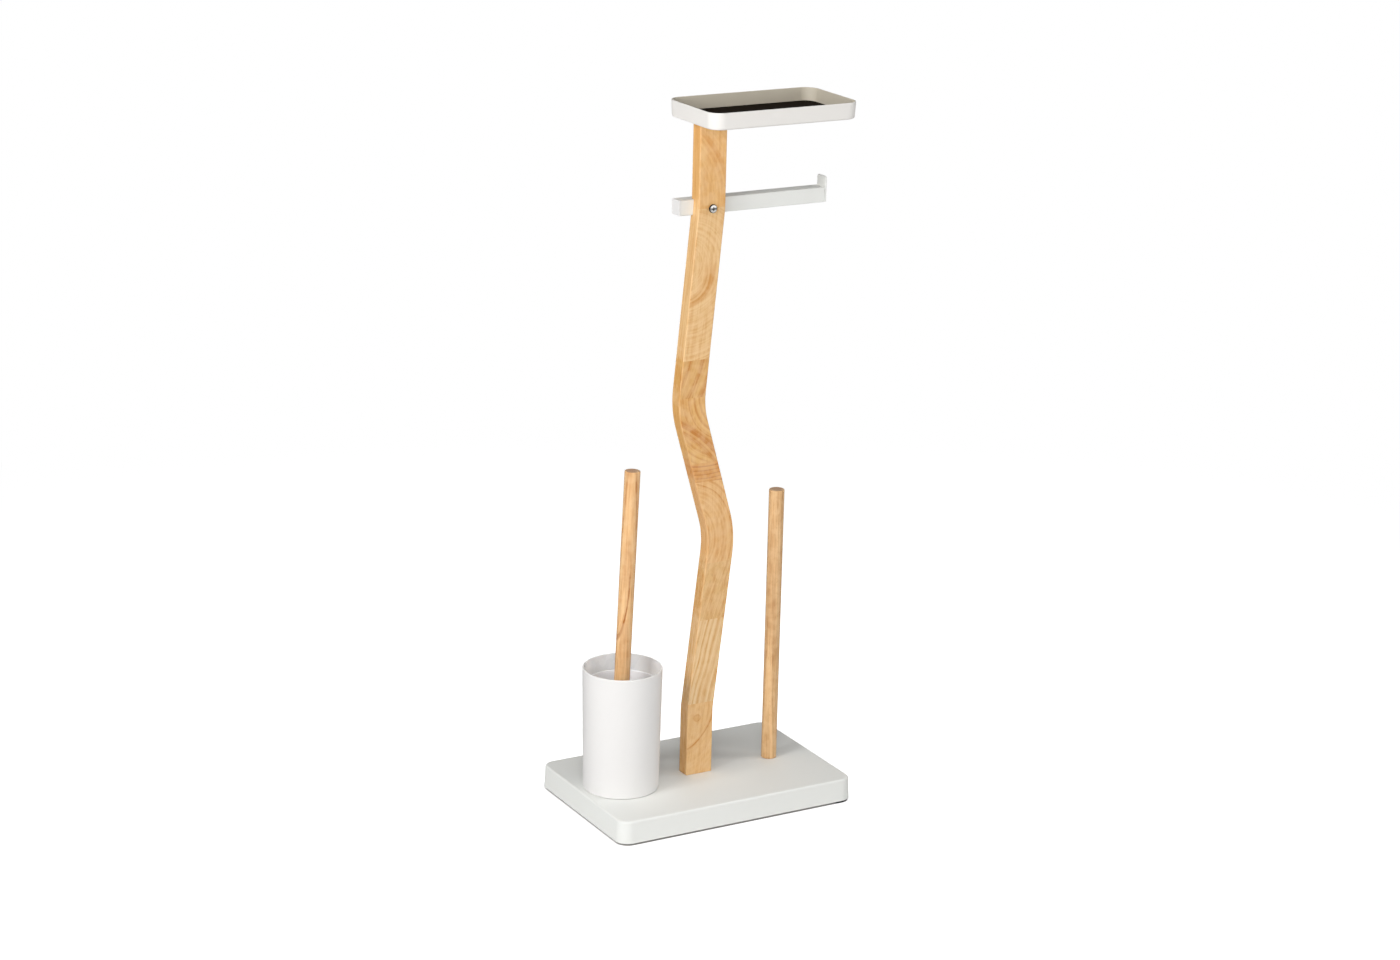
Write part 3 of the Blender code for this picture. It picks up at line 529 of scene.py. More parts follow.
base_paint = skin_material("white powder coat", (0.818, 0.826, 0.796), (0.785, 0.788, 0.753), **POWDER)
tray_paint = skin_material("warm white powder coat", (0.798, 0.776, 0.743), (0.76, 0.735, 0.70), **POWDER)
# The paint inside the tray is darker and yellower than outside: painted shade.
tray_painted_shade = skin_material(
    "painted shade inside the tray", (0.585, 0.530, 0.430), (0.55, 0.495, 0.39),
    **dict(POWDER, roughness=0.50, wear=0.2),
)
cup_plastic = skin_material("satin cup plastic", (0.808, 0.795, 0.782), (0.78, 0.763, 0.747), **CUP)
# The cup's inside is much whiter than its outside: painted light, on top of the real glow through the wall.
cup_inside_painted_light = skin_material(
    "thin cup wall inside with painted light", (0.985, 0.962, 0.930), (0.97, 0.945, 0.91),
    Subsurface_Weight=1.0, Subsurface_Radius=(1.0, 0.95, 0.9), Subsurface_Scale=0.006,
    **dict(CUP, depth=0.00001, roughness=0.30, wear=0.2),
)
liner_plastic = skin_material("glossy liner plastic", (0.800, 0.800, 0.815), (0.77, 0.77, 0.79), **LINER)
# The liner's inside is whiter than its outside: painted light.
liner_inside_painted_light = skin_material(
    "liner plastic inside with painted light", (0.985, 0.982, 1.000), (0.97, 0.97, 0.99), **dict(LINER, roughness=0.28),
)
bristle_nylon = skin_material(
    "bristle nylon", (0.84, 0.84, 0.82), (0.76, 0.76, 0.73),
    grain=600.0, depth=0.00001, cloud=160.0, roughness=0.42, spread=0.2, wear=0.0,
)

# %% [markdown]
# The feet and the mat in the tray are black rubber. Rubber scatters light in a dull way and shows
# a coarse grain from its mould. The weight inside the base is raw fibreboard.

# %% Dark and raw finishes
foot_rubber = skin_material(
    "foot rubber", (0.009, 0.0085, 0.008), (0.020, 0.019, 0.018), Specular_IOR_Level=0.1,
    grain=1100.0, depth=0.00006, cloud=120.0, roughness=0.85, spread=0.10, wear=0.2,
)
mat_rubber = skin_material(
    "mat rubber", (0.0065, 0.0040, 0.0020), (0.012, 0.009, 0.0055), Specular_IOR_Level=0.03,
    grain=1400.0, depth=0.0001, cloud=30.0, roughness=0.92, spread=0.06, wear=0.3,
)
fibreboard = skin_material(
    "raw fibreboard", (0.45, 0.31, 0.18), (0.33, 0.22, 0.12),
    grain=900.0, depth=0.0002, cloud=300.0, roughness=0.9, spread=0.1, wear=0.0,
)

# %% [markdown]
# Screws, washers and nuts are zinc plated, which looks like pale metal with a fine matt haze. The
# one screw that shows on the post is chrome plated. The walls of the cross in a screw's head get a
# dark metal of their own, which is painted shade.

# %% Metal finishes
def metal_material(name, colour, shade, cloud, roughness, spread):
    """Plated metal. shade is the tone of its haze."""
    return skin_material(name, colour, shade, grain=1600.0, depth=0.00001, cloud=cloud,
                         roughness=roughness, spread=spread, wear=0.3, Metallic=1.0)


zinc_plate = metal_material("zinc plate", (0.62, 0.62, 0.61), (0.50, 0.50, 0.49), 240.0, 0.34, 0.16)
chrome_plate = metal_material("chrome plate", (0.95, 0.93, 0.89), (0.85, 0.83, 0.79), 300.0, 0.12, 0.06)
# Near-black metal for the walls of the cross and the rim of the bar's screw: painted shade.
painted_shade_metal = metal_material("painted shade metal", (0.05, 0.045, 0.04), (0.03, 0.028, 0.025), 400.0, 0.45, 0.2)

# %% [markdown]
# Wood gets a thin satin lacquer. It lies over the pores as a clear coat, with its own weak
# reflection, while the wood below stays rougher. Where hands polish an arris, the wood is paler,
# and this paler arris is also a painted highlight.

# %% Wood finishes
PALE_ARRIS_AND_HIGHLIGHT = (0.86, 0.60, 0.33)
HAND_WEAR_AND_HIGHLIGHT = {"Amount": 0.45, "Patch Scale": 90.0}
BUMP_DEPTH = 0.00012
BUMP_STRENGTH = 0.7


def wood_material(name, **grain):
    """A lacquered wood. grain names the inputs of the wood group."""
    material, tree, shader = new_material(name, Coat_Weight=0.07, Coat_Roughness=0.3, Specular_IOR_Level=0.25)
    wood = place_group(tree, sawn_wood, {label.replace("_", " "): value for label, value in grain.items()})
    worn = place_group(tree, worn_edges, HAND_WEAR_AND_HIGHLIGHT)["Mask"]
    # The paler arris is partly wear and partly a painted highlight.
    fill_input(shader.inputs["Base Color"], blend_colours(worn, wood["Color"], PALE_ARRIS_AND_HIGHLIGHT))
    fill_input(shader.inputs["Roughness"], wood["Roughness"])
    add_bump(shader, wood["Height"], BUMP_DEPTH, BUMP_STRENGTH)
    print("finish:", name)
    return material


rod_wood = wood_material(
    "rod wood", Pale=(0.715, 0.430, 0.202), Deep=(0.42, 0.185, 0.055), Tree_Middle=(0.155, 0.050, 0.2),
    Tree_Turn=(-0.014, 0.008, 0.0), Ring_Width=0.0034, Ring_Depth=0.45, Late_Share=0.7, Wander=0.0012,
    Pores=0.8, End_Grain=0.75,
)
handle_wood = wood_material(
    "handle wood", Pale=(0.750, 0.428, 0.190), Deep=(0.46, 0.170, 0.038), Tree_Middle=(0.025, 0.0433, 0.05),
    Tree_Turn=(-0.035, 0.020, 0.0), Ring_Width=0.0042, Ring_Depth=0.7, Late_Share=0.35, Wander=0.0015,
    Pores=0.35, End_Grain=0.75, Streak_Middle=(-0.3017, 0.0, 0.234), Streak_Radius=0.3, Streak_Width=0.0020,
    Streak_Depth=1.8, Streak_Half=-1.0,
)

# %% [markdown]
# The post is not one board. Short blocks are finger jointed end to end, glued into a long board,
# and the S is sawn out of that, so all joints stay level however the post leans. Each block comes
# from another tree and gets its own rings. The list runs from the foot up: the height where the
# block ends, its pale tone, and where the middle of its tree and of its streak lay. In most blocks
# the middle line comes out of the wide face. The dark tone follows from the pale one: late wood
# keeps most of its red and loses most of its blue.

# %% The post's blocks
OUT_OF_FACE = (math.pi / 2, 0.0, 0.0)
DEEPENING = (0.80, 0.57, 0.30)

# The first two blocks darken their narrow faces, which is painted shade.
POST_BLOCKS = [
    (0.1180, dict(Pale=(0.774, 0.460, 0.193), Tree_Middle=(-0.0068, 0.0, 0.0968),
                  Tree_Turn=(math.pi / 2, 0.0, -0.35), Tree_Squash=(1.0, 0.53, 1.0), Ring_Width=0.0075,
                  Ring_Depth=0.25, Wander=0.004, Line_Depth=0.5, Streak_Middle=(-0.041, 0.0, 0.113),
                  Streak_Radius=0.0555, Streak_Width=0.0026, Streak_Depth=1.5, Streak_Half=-1.0,
                  Knot_Radius=0.0048, Fibre_Lean=-0.12, Edge_Tone=0.15)),
    (0.2170, dict(Pale=(0.790, 0.550, 0.295), Tree_Middle=(0.10, 0.02, 0.17), Tree_Turn=(0.0, -0.25, 0.0),
                  Ring_Width=0.0060, Ring_Depth=0.8, Late_Share=0.7, Wander=0.006, Fibre_Lean=-0.22,
                  Edge_Tone=0.30)),
    (0.2840, dict(Pale=(0.694, 0.408, 0.160), Tree_Middle=(-0.2, 0.25, 0.25), Tree_Turn=(0.0, 0.0, 0.0),
                  Ring_Width=0.012, Ring_Depth=0.2, Wander=0.020, Fibre_Lean=-0.36, Fibre_Depth=1.5,
                  Pores=1.0)),
    (0.3805, dict(Pale=(0.750, 0.430, 0.175), Tree_Middle=(-0.0240, 0.0, 0.3100),
                  Tree_Squash=(1.0, 0.85, 1.0), Ring_Width=0.0072, Ring_Depth=0.8, Late_Share=0.35,
                  Wander=0.003)),
    (0.4025, dict(Pale=(0.630, 0.272, 0.060), Tree_Middle=(-0.003, 0.0, 0.5134), Ring_Width=0.0046,
                  Ring_Depth=2.4, Late_Share=0.45, Wander=0.0010, Line_Depth=0.5, Fibre_Depth=0.35)),
    (0.4790, dict(Pale=(0.692, 0.375, 0.114), Tree_Middle=(0.0260, 0.0, 0.4760), Ring_Width=0.0068,
                  Ring_Depth=0.8, Late_Share=0.5, Wander=0.0015, Streak_Middle=(-0.110, 0.0, 0.310),
                  Streak_Radius=0.153, Streak_Width=0.0105, Streak_Depth=1.5, Fibre_Depth=0.7)),
    (0.5215, dict(Pale=(0.655, 0.355, 0.105), Tree_Middle=(-0.1523, 0.0, 0.5532), Ring_Width=0.0150,
                  Ring_Depth=1.1, Late_Share=0.60, Wander=0.0015, Fibre_Lean=-0.3)),
    (0.6900, dict(Pale=(0.755, 0.473, 0.213), Tree_Middle=(-0.036, 0.0, 0.624), Ring_Width=0.0095,
                  Ring_Depth=0.15, Wander=0.006, Streak_Middle=(-0.0362, 0.0, 0.6164),
                  Streak_Radius=0.0335, Streak_Width=0.0085, Streak_Depth=1.1, Streak_Half=-1.0,
                  Fibre_Lean=-0.1)),
    (0.7900, dict(Pale=(0.750, 0.415, 0.145), Tree_Middle=(-0.0904, 0.0, 0.690), Ring_Width=0.0110,
                  Ring_Depth=0.15, Wander=0.003, Line_Depth=0.6, Streak_Middle=(-0.0904, 0.0, 0.690),
                  Streak_Radius=0.1055, Streak_Width=0.0080, Streak_Depth=0.8, Streak_Half=1.0)),
]
post_woods = []
for number, (top, grain) in enumerate(POST_BLOCKS, start=1):
    deep = tuple(tone * share for tone, share in zip(grain["Pale"], DEEPENING))
    values = {"Deep": deep, "Edge_Grain": 1.0, "Tree_Turn": OUT_OF_FACE, **grain}
    post_woods.append(wood_material(f"post wood block {number}", **values))
JOINT_HEIGHTS = [top for top, _ in POST_BLOCKS[:-1]]
print("post blocks:", len(post_woods), "joints at", JOINT_HEIGHTS)

# %% [markdown]
# ## Mesh code
#
# Almost every piece here is a row of rings: outlines of the same number of points that are joined
# one to the next. A pressed dish, a moulded cup, a dowel and a tube differ only in their rings.
# Round corners are arcs in the rings, so an arris has a real radius and catches a line of light.
#
# After the rings are joined, the code measures how sharply the surface bends at each point and
# keeps that as the number edge, which the worn edges group reads.

# %% Outlines
FULL_TURN = 2 * math.pi
CORNERS = ((1, 1), (-1, 1), (-1, -1), (1, -1))


def rectangle(width, depth, radii, steps=10):
    """(u, v) points round a rectangle with round corners, at +u+v, -u+v, -u-v and +u-v."""
    if isinstance(radii, float):
        radii = (radii,) * 4
    points = []
    for quarter, (side_u, side_v) in enumerate(CORNERS):
        radius = radii[quarter]
        for step in range(steps + 1):
            angle = math.pi / 2 * (quarter + step / steps)
            u = side_u * (width / 2 - radius) + radius * math.cos(angle)
            v = side_v * (depth / 2 - radius) + radius * math.sin(angle)
            points.append((u, v))
    return points


def lay_flat(outline, height, centre=(0.0, 0.0)):
    return [Vector((centre[0] + u, centre[1] + v, height)) for u, v in outline]


def circle(radius, height, steps, centre=(0.0, 0.0)):
    angles = [FULL_TURN * step / steps for step in range(steps)]
    return lay_flat([(radius * math.cos(a), radius * math.sin(a)) for a in angles], height, centre)


def on_circle(radius, angle, height):
    return Vector((radius * math.cos(angle), radius * math.sin(angle), height))


def arc(centre_u, centre_v, radius, start, end, steps=6):
    """Points along an arc of a section, from angle start to angle end in degrees."""
    angles = [math.radians(start + (end - start) * step / steps) for step in range(steps + 1)]
    return [(centre_u + radius * math.cos(a), centre_v + radius * math.sin(a)) for a in angles]


print("points in a rounded rectangle:", len(rectangle(1.0, 1.0, 0.1)))

# %% Rings joined into bodies
GENTLE_BEND = 120.0         # of an outer bend, in radians a metre, where wear starts
SHARP_BEND = 420.0


def bend_share(before, here, after, outward):
    """How much of a sharp outer bend there is at a point: 0 on a flat or hollow place, 1 on an edge."""
    first, second = here - before, after - here
    shorter = min(first.length, second.length)
    if shorter == 0 or (first - second).dot(outward) <= 0:
        return 0.0
    bend = first.angle(second) / shorter
    return min(1.0, max(0.0, (bend - GENTLE_BEND) / (SHARP_BEND - GENTLE_BEND)))


def join_rings(rings, closed=False, bm=None):
    """Joins rings of points into one body. The first and last are filled, unless it closes on itself."""
    bm = bm or bmesh.new()
    layer = bm.verts.layers.float.get("edge") or bm.verts.layers.float.new("edge")
    rows = [[bm.verts.new(point) for point in ring] for ring in rings]
    pairs = list(zip(rows, rows[1:] + rows[:1])) if closed else list(zip(rows, rows[1:]))
    faces = []
    for low, high in pairs:
        for i in range(len(low)):
            j = (i + 1) % len(low)
            faces.append(bm.faces.new((low[i], low[j], high[j], high[i])))
    if not closed:
        faces.append(bm.faces.new(rows[0][::-1]))
        faces.append(bm.faces.new(rows[-1]))
    bmesh.ops.recalc_face_normals(bm, faces=faces)
    bm.normal_update()
    for r, row in enumerate(rows):
        for i, vert in enumerate(row):
            around = bend_share(row[i - 1].co, vert.co, row[(i + 1) % len(row)].co, vert.normal)
            along = 0.0
            if closed or 0 < r < len(rows) - 1:
                along = bend_share(rows[r - 1][i].co, vert.co, rows[(r + 1) % len(rows)][i].co, vert.normal)
            vert[layer] = max(around, along)
    return bm


def turn_section(section, steps, centre=(0.0, 0.0), closed=False):
    """A body of revolution about Z from (radius, height) pairs."""
    return join_rings([circle(radius, height, steps, centre) for radius, height in section], closed)


print("wear starts at", GENTLE_BEND, "and is full at", SHARP_BEND, "radians a metre")

# %% [markdown]
# A finished body becomes an object that rides on one of the model's bodies and stands in for a
# node of the model. Smooth shading needs one more step: with weighted normals, large flat faces
# stay flat, and only the narrow arris bends the light. Holes are cut with an exact Boolean, which is
# applied at once, so that no cutter is left in the scene.

# %% Objects and holes
def to_object(name, bm, materials):
    mesh = bpy.data.meshes.new(name)
    bm.to_mesh(mesh)
    bm.free()
    for material in materials:
        mesh.materials.append(material)
    item = bpy.data.objects.new(name, mesh)
    bpy.context.scene.collection.objects.link(item)
    return item


def cut_out(item, cutter, material_index):
    """Takes the bodies in cutter out of item. The new walls get the material with that index."""
    for face in cutter.faces:
        face.material_index = material_index
    tool = to_object("cutter", cutter, item.data.materials)
    tool.matrix_world = item.matrix_world
    boolean = item.modifiers.new("cut", "BOOLEAN")
    boolean.operation = "DIFFERENCE"
    boolean.solver = "EXACT"
    boolean.object = tool
    bpy.context.view_layer.update()
    mesh = bpy.data.meshes.new_from_object(item.evaluated_get(bpy.context.evaluated_depsgraph_get()))
    item.modifiers.clear()
    item.data = mesh
    bpy.data.objects.remove(tool)


FACES_IN = -1e-6            # of a wall's outward part, below which it looks inwards


def mark_inside(bm, centre):
    """Gives the walls that look towards the upright line through centre the second material."""
    for face in bm.faces:
        outward = face.calc_center_median() - centre
        if face.normal.x * outward.x + face.normal.y * outward.y < FACES_IN:
            face.material_index = 1
    return bm


print("object helpers are ready")

# %% Pieces
SHARP_ANGLE = math.radians(40)


def finish_piece(item, body, slot, *nodes, flat_first=True):
    """Shades the piece, and puts it in its node's place on its body."""
    item.data.shade_smooth()
    item.data.set_sharp_from_angle(angle=SHARP_ANGLE)
    if flat_first:
        weighted = item.modifiers.new("flat faces first", "WEIGHTED_NORMAL")
        weighted.keep_sharp = True
    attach(item, body)
    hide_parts(*nodes)
    print(item.name, "stands for", ", ".join(nodes), "with", len(item.data.vertices), "points")


def make_piece(name, bm, materials, slot, node, body="stand", cuts=(), place=None, flat_first=True):
    """Makes the piece for a node. cuts are (cutter, material index) pairs, place is a matrix."""
    item = to_object(name, bm, materials)
    for cutter, material_index in cuts:
        cut_out(item, cutter, material_index)
    if place is not None:
        item.matrix_world = place
    finish_piece(item, body, slot, node, flat_first=flat_first)


class NodeBox:
    """The box that a node of the model fills."""

    def __init__(self, node):
        self.low, self.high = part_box(node)
        self.middle = (self.low + self.high) / 2
        self.size = self.high - self.low
        self.radius = (self.high.x - self.low.x) / 2
        self.height = self.high.z - self.low.z


print("post fills", rounded(NodeBox("post").size))

# %% [markdown]
# ## Base and tray: two pressed dishes
#
# The base is a steel sheet pressed over a form, open below. The tray is the same thing the other
# way up. A pressed dish has a flat face, a tight bend all round it, a wall that leans out a little
# so that it leaves the die, and a lip whose cut edge is slightly rounded. One section describes
# both, from the middle of the outer face round to the middle of the inner face.

# %% A pressed dish and its holes
SHEET = 0.0012
LIP_ROUND = 0.0004
LIP_MIDDLE = LIP_ROUND * 0.3
DRAFT = 0.0010
HOLE_RADIUS = 0.0029
HOLE_STEPS = 24
CUT_PAST = 0.005            # how far a cutter reaches past a face


def dish_section(height, arris):
    """(inset, height above the flat face) pairs round a pressed dish's wall."""
    inner = arris - SHEET
    outside = [(DRAFT + arris + u, arris + v) for u, v in arc(0.0, 0.0, arris, 270, 180)]
    lip = [(0.0, height - LIP_ROUND), (LIP_MIDDLE, height - LIP_MIDDLE), (LIP_ROUND, height)]
    lip += [(SHEET - inset, rise) for inset, rise in reversed(lip)]
    inside = [(DRAFT + SHEET + inner + u, SHEET + inner + v) for u, v in arc(0.0, 0.0, inner, 180, 270)]
    return outside + lip + inside


def pressed_dish(room, corner, arris, lip_down):
    """A dish that fills a box, with its open side down or up."""
    rings = []
    for inset, rise in dish_section(room.size.z, arris):
        radius = max(corner - inset, arris)
        outline = rectangle(room.size.x - 2 * inset, room.size.y - 2 * inset, radius, steps=14)
        height = room.high.z - rise if lip_down else room.low.z + rise
        rings.append(lay_flat(outline, height, room.middle))
    return join_rings(rings)


def upright_holes(centres, low, high, radius=HOLE_RADIUS):
    """Round cutters from low to high at each centre."""
    bm = bmesh.new()
    for centre in centres:
        join_rings([circle(radius, height, HOLE_STEPS, centre) for height in (low, high)], bm=bm)
    return bm


print("sheet:", SHEET, "screw hole radius:", HOLE_RADIUS)

# %% Base pan and tray
BASE_CORNER = 0.015
BASE_ARRIS = 0.0025
TRAY_CORNER = 0.016
TRAY_ARRIS = 0.0022
BASE_SCREWS = ("post_left", "post_right", "rod", "cup")
TRAY_SCREWS = ("tray_left", "tray_right")

base_centres = [NodeBox(f"screw_{name}").middle for name in BASE_SCREWS]
base = NodeBox("base_shell")
base_cutter = upright_holes(base_centres, base.high.z - CUT_PAST, base.high.z + CUT_PAST)
base_dish = pressed_dish(base, BASE_CORNER, BASE_ARRIS, True)
make_piece("base_pan", base_dish, [base_paint], "white_paint", "base_shell", cuts=[(base_cutter, 0)])

tray_centres = [NodeBox(f"screw_{name}").middle for name in TRAY_SCREWS]
tray = NodeBox("tray")
tray_cutter = upright_holes(tray_centres, tray.low.z - CUT_PAST, tray.low.z + CUT_PAST)
# The tray's inner walls get the painted shade.
tray_dish = mark_inside(pressed_dish(tray, TRAY_CORNER, TRAY_ARRIS, False), tray.middle)
make_piece("tray_dish", tray_dish, [tray_paint, tray_painted_shade], "white_paint", "tray", cuts=[(tray_cutter, 0)])

# %% [markdown]
# The mat is cut from rubber sheet and lies loose in the tray. Its upper edge is rounded by a
# shallow arc, and two pockets below clear the heads of the tray's screws. The weight inside the
# base keeps the model's own shape, and only gets its fibreboard finish.

# %% Mat and core
MAT_CORNER = 0.0126
MAT_EDGE = 0.0008
POCKET_RADIUS = 0.0052
POCKET_DEPTH = 0.002

mat = NodeBox("tray_mat")
mat_section = [(0.0, mat.low.z)]
mat_section += [(MAT_EDGE + u, mat.high.z - MAT_EDGE + v) for u, v in arc(0.0, 0.0, MAT_EDGE, 180, 90)]
mat_rings = []
for inset, height in mat_section:
    outline = rectangle(mat.size.x - 2 * inset, mat.size.y - 2 * inset, MAT_CORNER - inset, steps=12)
    mat_rings.append(lay_flat(outline, height, mat.middle))
pockets = upright_holes(tray_centres, mat.low.z - POCKET_DEPTH, mat.low.z + POCKET_DEPTH, POCKET_RADIUS)
make_piece("tray_mat_sheet", join_rings(mat_rings), [mat_rubber], "mat_rubber", "tray_mat",
           cuts=[(pockets, 0)])

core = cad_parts["base_core"]
core.data.materials.clear()
core.data.materials.append(fibreboard)
print("core finish:", core.data.materials[0].name)

# %% [markdown]
# ## Feet
#
# Four round rubber pads keep the base off wet tiles. A pad is turned: flat and slightly dished
# below, so that it grips with its rim, with a rounded edge and a short straight side. The front
# right pad is squeezed out flat, so its sole shows as a black line under that corner of the pan.

# %% Rubber feet
AXIS_RING = 0.0005          # a tiny ring at the axis closes a turned face
FOOT_STEPS = 48
FOOT_EDGE = 0.0006
FOOT_DISH = 0.0003
DISH_SHARE = 0.55           # of the radius, where the dished part ends
RIM_SHARE = 0.72
SOLE_SPREAD = 0.0045
SOLE_HEIGHT = 0.0021
SOLE_SLOPE = 0.0002

for place_name in ("front_left", "front_right", "back_left", "back_right"):
    node = "foot_" + place_name
    pad = NodeBox(node)
    sole = pad.radius + (SOLE_SPREAD if place_name == "front_right" else 0.0)
    radius, top = pad.radius, pad.high.z
    section = [(AXIS_RING, FOOT_DISH), (radius * DISH_SHARE, FOOT_DISH), (radius * RIM_SHARE, pad.low.z)]
    section += arc(sole - FOOT_EDGE, FOOT_EDGE, FOOT_EDGE, -90, 0)
    section += [(sole, SOLE_HEIGHT), (radius, SOLE_HEIGHT + SOLE_SLOPE)]
    section += [(radius, top - FOOT_DISH), (radius - FOOT_DISH, top), (AXIS_RING, top)]
    pad_body = turn_section(section, FOOT_STEPS, pad.middle)
    make_piece("rubber_" + node, pad_body, [foot_rubber], "black_rubber", node)

# %% [markdown]
# ## Post
#
# The post's two long edges are parallel curves: straight runs joined by arcs. Since the S is sawn
# from an upright board, it is built from level sections, each reaching from the left edge curve to
# the right one at its own height. Near a joint, the points on the two narrow sides step up and
# down in a zigzag. That is what a finger joint looks like from the side, while the wide faces show
# only a straight line. Each block between two joints gets its own wood.

# %% The post's edge curves
POST_WIDTH = 0.033
POST_ARRIS = 0.0012
POST_SWAY = 0.0231
BEND_RADIUS = 0.107
BENDS = ((0.1035, 0.0), (0.3758, 1.0), (0.5762, -0.89), (0.8715, 0.0))  # shares of height and sway
BEND_STEPS = 20

post = NodeBox("post")
row_x = (base_centres[0].x + base_centres[1].x) / 2
row_y = (post.low.y + post.high.y) / 2


def middle_line():
    """(x, z, lean) points up the middle of the post."""
    corners = [(row_x, post.low.z)]
    corners += [(row_x + POST_SWAY * sway, post.low.z + post.height * share) for share, sway in BENDS]
    corners.append((row_x, post.high.z))
    leans = [math.atan2(b[0] - a[0], b[1] - a[1]) for a, b in zip(corners, corners[1:])]
    line = [(*corners[0], leans[0])]
    for (x, z), before, after in zip(corners[1:-1], leans, leans[1:]):
        run = BEND_RADIUS * math.tan(abs(after - before) / 2)
        radius = math.copysign(BEND_RADIUS, after - before)
        start_x = x - run * math.sin(before)
        start_z = z - run * math.cos(before)
        for step in range(BEND_STEPS + 1):
            lean = before + (after - before) * step / BEND_STEPS
            arc_x = start_x + radius * (math.cos(before) - math.cos(lean))
            arc_z = start_z + radius * (math.sin(lean) - math.sin(before))
            line.append((arc_x, arc_z, lean))
    line.append((*corners[-1], leans[-1]))
    return line


def edge_curve(side):
    """(z, x) points of the left edge (side -1) or the right edge (side 1)."""
    reach = side * POST_WIDTH / 2
    return [(z - reach * math.sin(lean), x + reach * math.cos(lean)) for x, z, lean in middle_line()]


def edge_at(curve, height):
    for (low_z, low_x), (high_z, high_x) in zip(curve, curve[1:]):
        if height <= high_z:
            share = max(0.0, (height - low_z) / (high_z - low_z))
            return low_x + (high_x - low_x) * share
    return curve[-1][1]


edges = {side: edge_curve(side) for side in (-1, 1)}
print("post edges at the first joint:", rounded(edge_at(edges[side], JOINT_HEIGHTS[0]) for side in (-1, 1)))

# %% The post's sections
FINGER_HEIGHT = 0.0036      # of a finger, each way from the joint
FINGERS = 5
FINGER_REACH = 0.012        # how far the zigzag fades into the block
SECTION_STEP = 0.004
LEVEL_GAP = 0.0022          # closest that two sections come

flat_depth = post.high.y - post.low.y - 2 * POST_ARRIS


def post_outline():
    """(side, inset, y) points: side is -1 or 1, inset is the distance in from that edge curve."""
    columns = [flat_depth * (step / (2 * FINGERS) - 0.5) for step in range(1, 2 * FINGERS)]
    points = []
    for quarter, (side_x, side_y) in enumerate(CORNERS):
        for u, v in arc(0.0, 0.0, POST_ARRIS, 90 * quarter, 90 * quarter + 90, 4):
            points.append((side_x, POST_ARRIS - side_x * u, side_y * flat_depth / 2 + v))
        if quarter == 1:
            points += [(-1, 0.0, y) for y in reversed(columns)]
    return points + [(1, 0.0, y) for y in columns]


def finger_wave(y):
    """Height of the zigzag at a depth y from the post's middle, from -1 to 1."""
    share = min(1.0, max(0.0, y / flat_depth + 0.5)) * FINGERS
    return 1 - 4 * abs(share - math.floor(share) - 0.5) if share < FINGERS else -1.0


def section_heights():
    count = round(post.height / SECTION_STEP)
    even = [post.low.z + post.height * step / count for step in range(count + 1)]
    kept = [z for z in even if all(abs(z - joint) >= LEVEL_GAP for joint in JOINT_HEIGHTS)]
    return sorted(kept + JOINT_HEIGHTS)


def post_ring(height):
    nearest = min(JOINT_HEIGHTS, key=lambda joint: abs(joint - height))
    fade = max(0.0, 1 - abs(nearest - height) / FINGER_REACH)
    ring = []
    for side, inset, y in post_outline():
        level = height + FINGER_HEIGHT * fade * finger_wave(y)
        ring.append(Vector((edge_at(edges[side], level) - side * inset, row_y + y, level)))
    return ring


def block_at(height):
    """The number of the block at a height, counted from 0 at the foot."""
    return sum(joint <= height for joint in JOINT_HEIGHTS)


heights = section_heights()
post_body = join_rings([post_ring(height) for height in heights])
around = len(post_outline())
post_body.faces.ensure_lookup_table()
for index, (low_z, high_z) in enumerate(zip(heights, heights[1:])):
    for face in post_body.faces[index * around:(index + 1) * around]:
        face.material_index = block_at((low_z + high_z) / 2)
post_body.faces[-1].material_index = len(JOINT_HEIGHTS)
print("post sections:", len(heights), "points in each:", around)

# %% [markdown]
# The bar sits in a notch across the post's back, and its screw passes through from the front.
# Two screws come up into the foot and two down into the top, each in a drilled hole.

# %% Notch and holes of the post
GAP = 0.0003                # between pieces that touch
NOTCH_REACH = 0.1
BAR_HOLE_REACH = 0.02
FOOT_BORE = 0.033
TOP_BORE = 0.027

bar = NodeBox("roll_bar")
bar_block = block_at(bar.middle.z)


def box_body(low, high):
    corners = ((low[0], low[1]), (high[0], low[1]), (high[0], high[1]), (low[0], high[1]))
    return join_rings([lay_flat(corners, z) for z in (low[2], high[2])])


def front_hole(y, reach):
    """A round cutter from front to back at the bar's screw, as far as reach each way from y."""
    turned = Matrix.Translation((row_x, y, bar.middle.z)) @ Matrix.Rotation(math.pi / 2, 4, "X")
    rings = [circle(HOLE_RADIUS, height, HOLE_STEPS) for height in (-reach, reach)]
    return join_rings([[turned @ point for point in ring] for ring in rings])


notch_low = (-NOTCH_REACH, bar.low.y - GAP, bar.low.z - GAP)
notch = box_body(notch_low, (NOTCH_REACH, NOTCH_REACH, bar.high.z + GAP))
make_piece("post_blocks", post_body, post_woods, "post_wood", "post", cuts=[
    (notch, bar_block),
    (front_hole(row_y, BAR_HOLE_REACH), bar_block),
    (upright_holes(base_centres[:2], post.low.z - CUT_PAST, post.low.z + FOOT_BORE), 0),
    (upright_holes(tray_centres, post.high.z - TOP_BORE, post.high.z + CUT_PAST), bar_block),
])

# %% [markdown]
# ## Roll bar
#
# The bar is square steel tube with a tiny radius along its edges. A plate is welded to its right
# end and stands up above it, so that a roll can't slide off. The left end is closed with a plastic
# plug. Tube, plate and plug are rings that stand across the X axis.

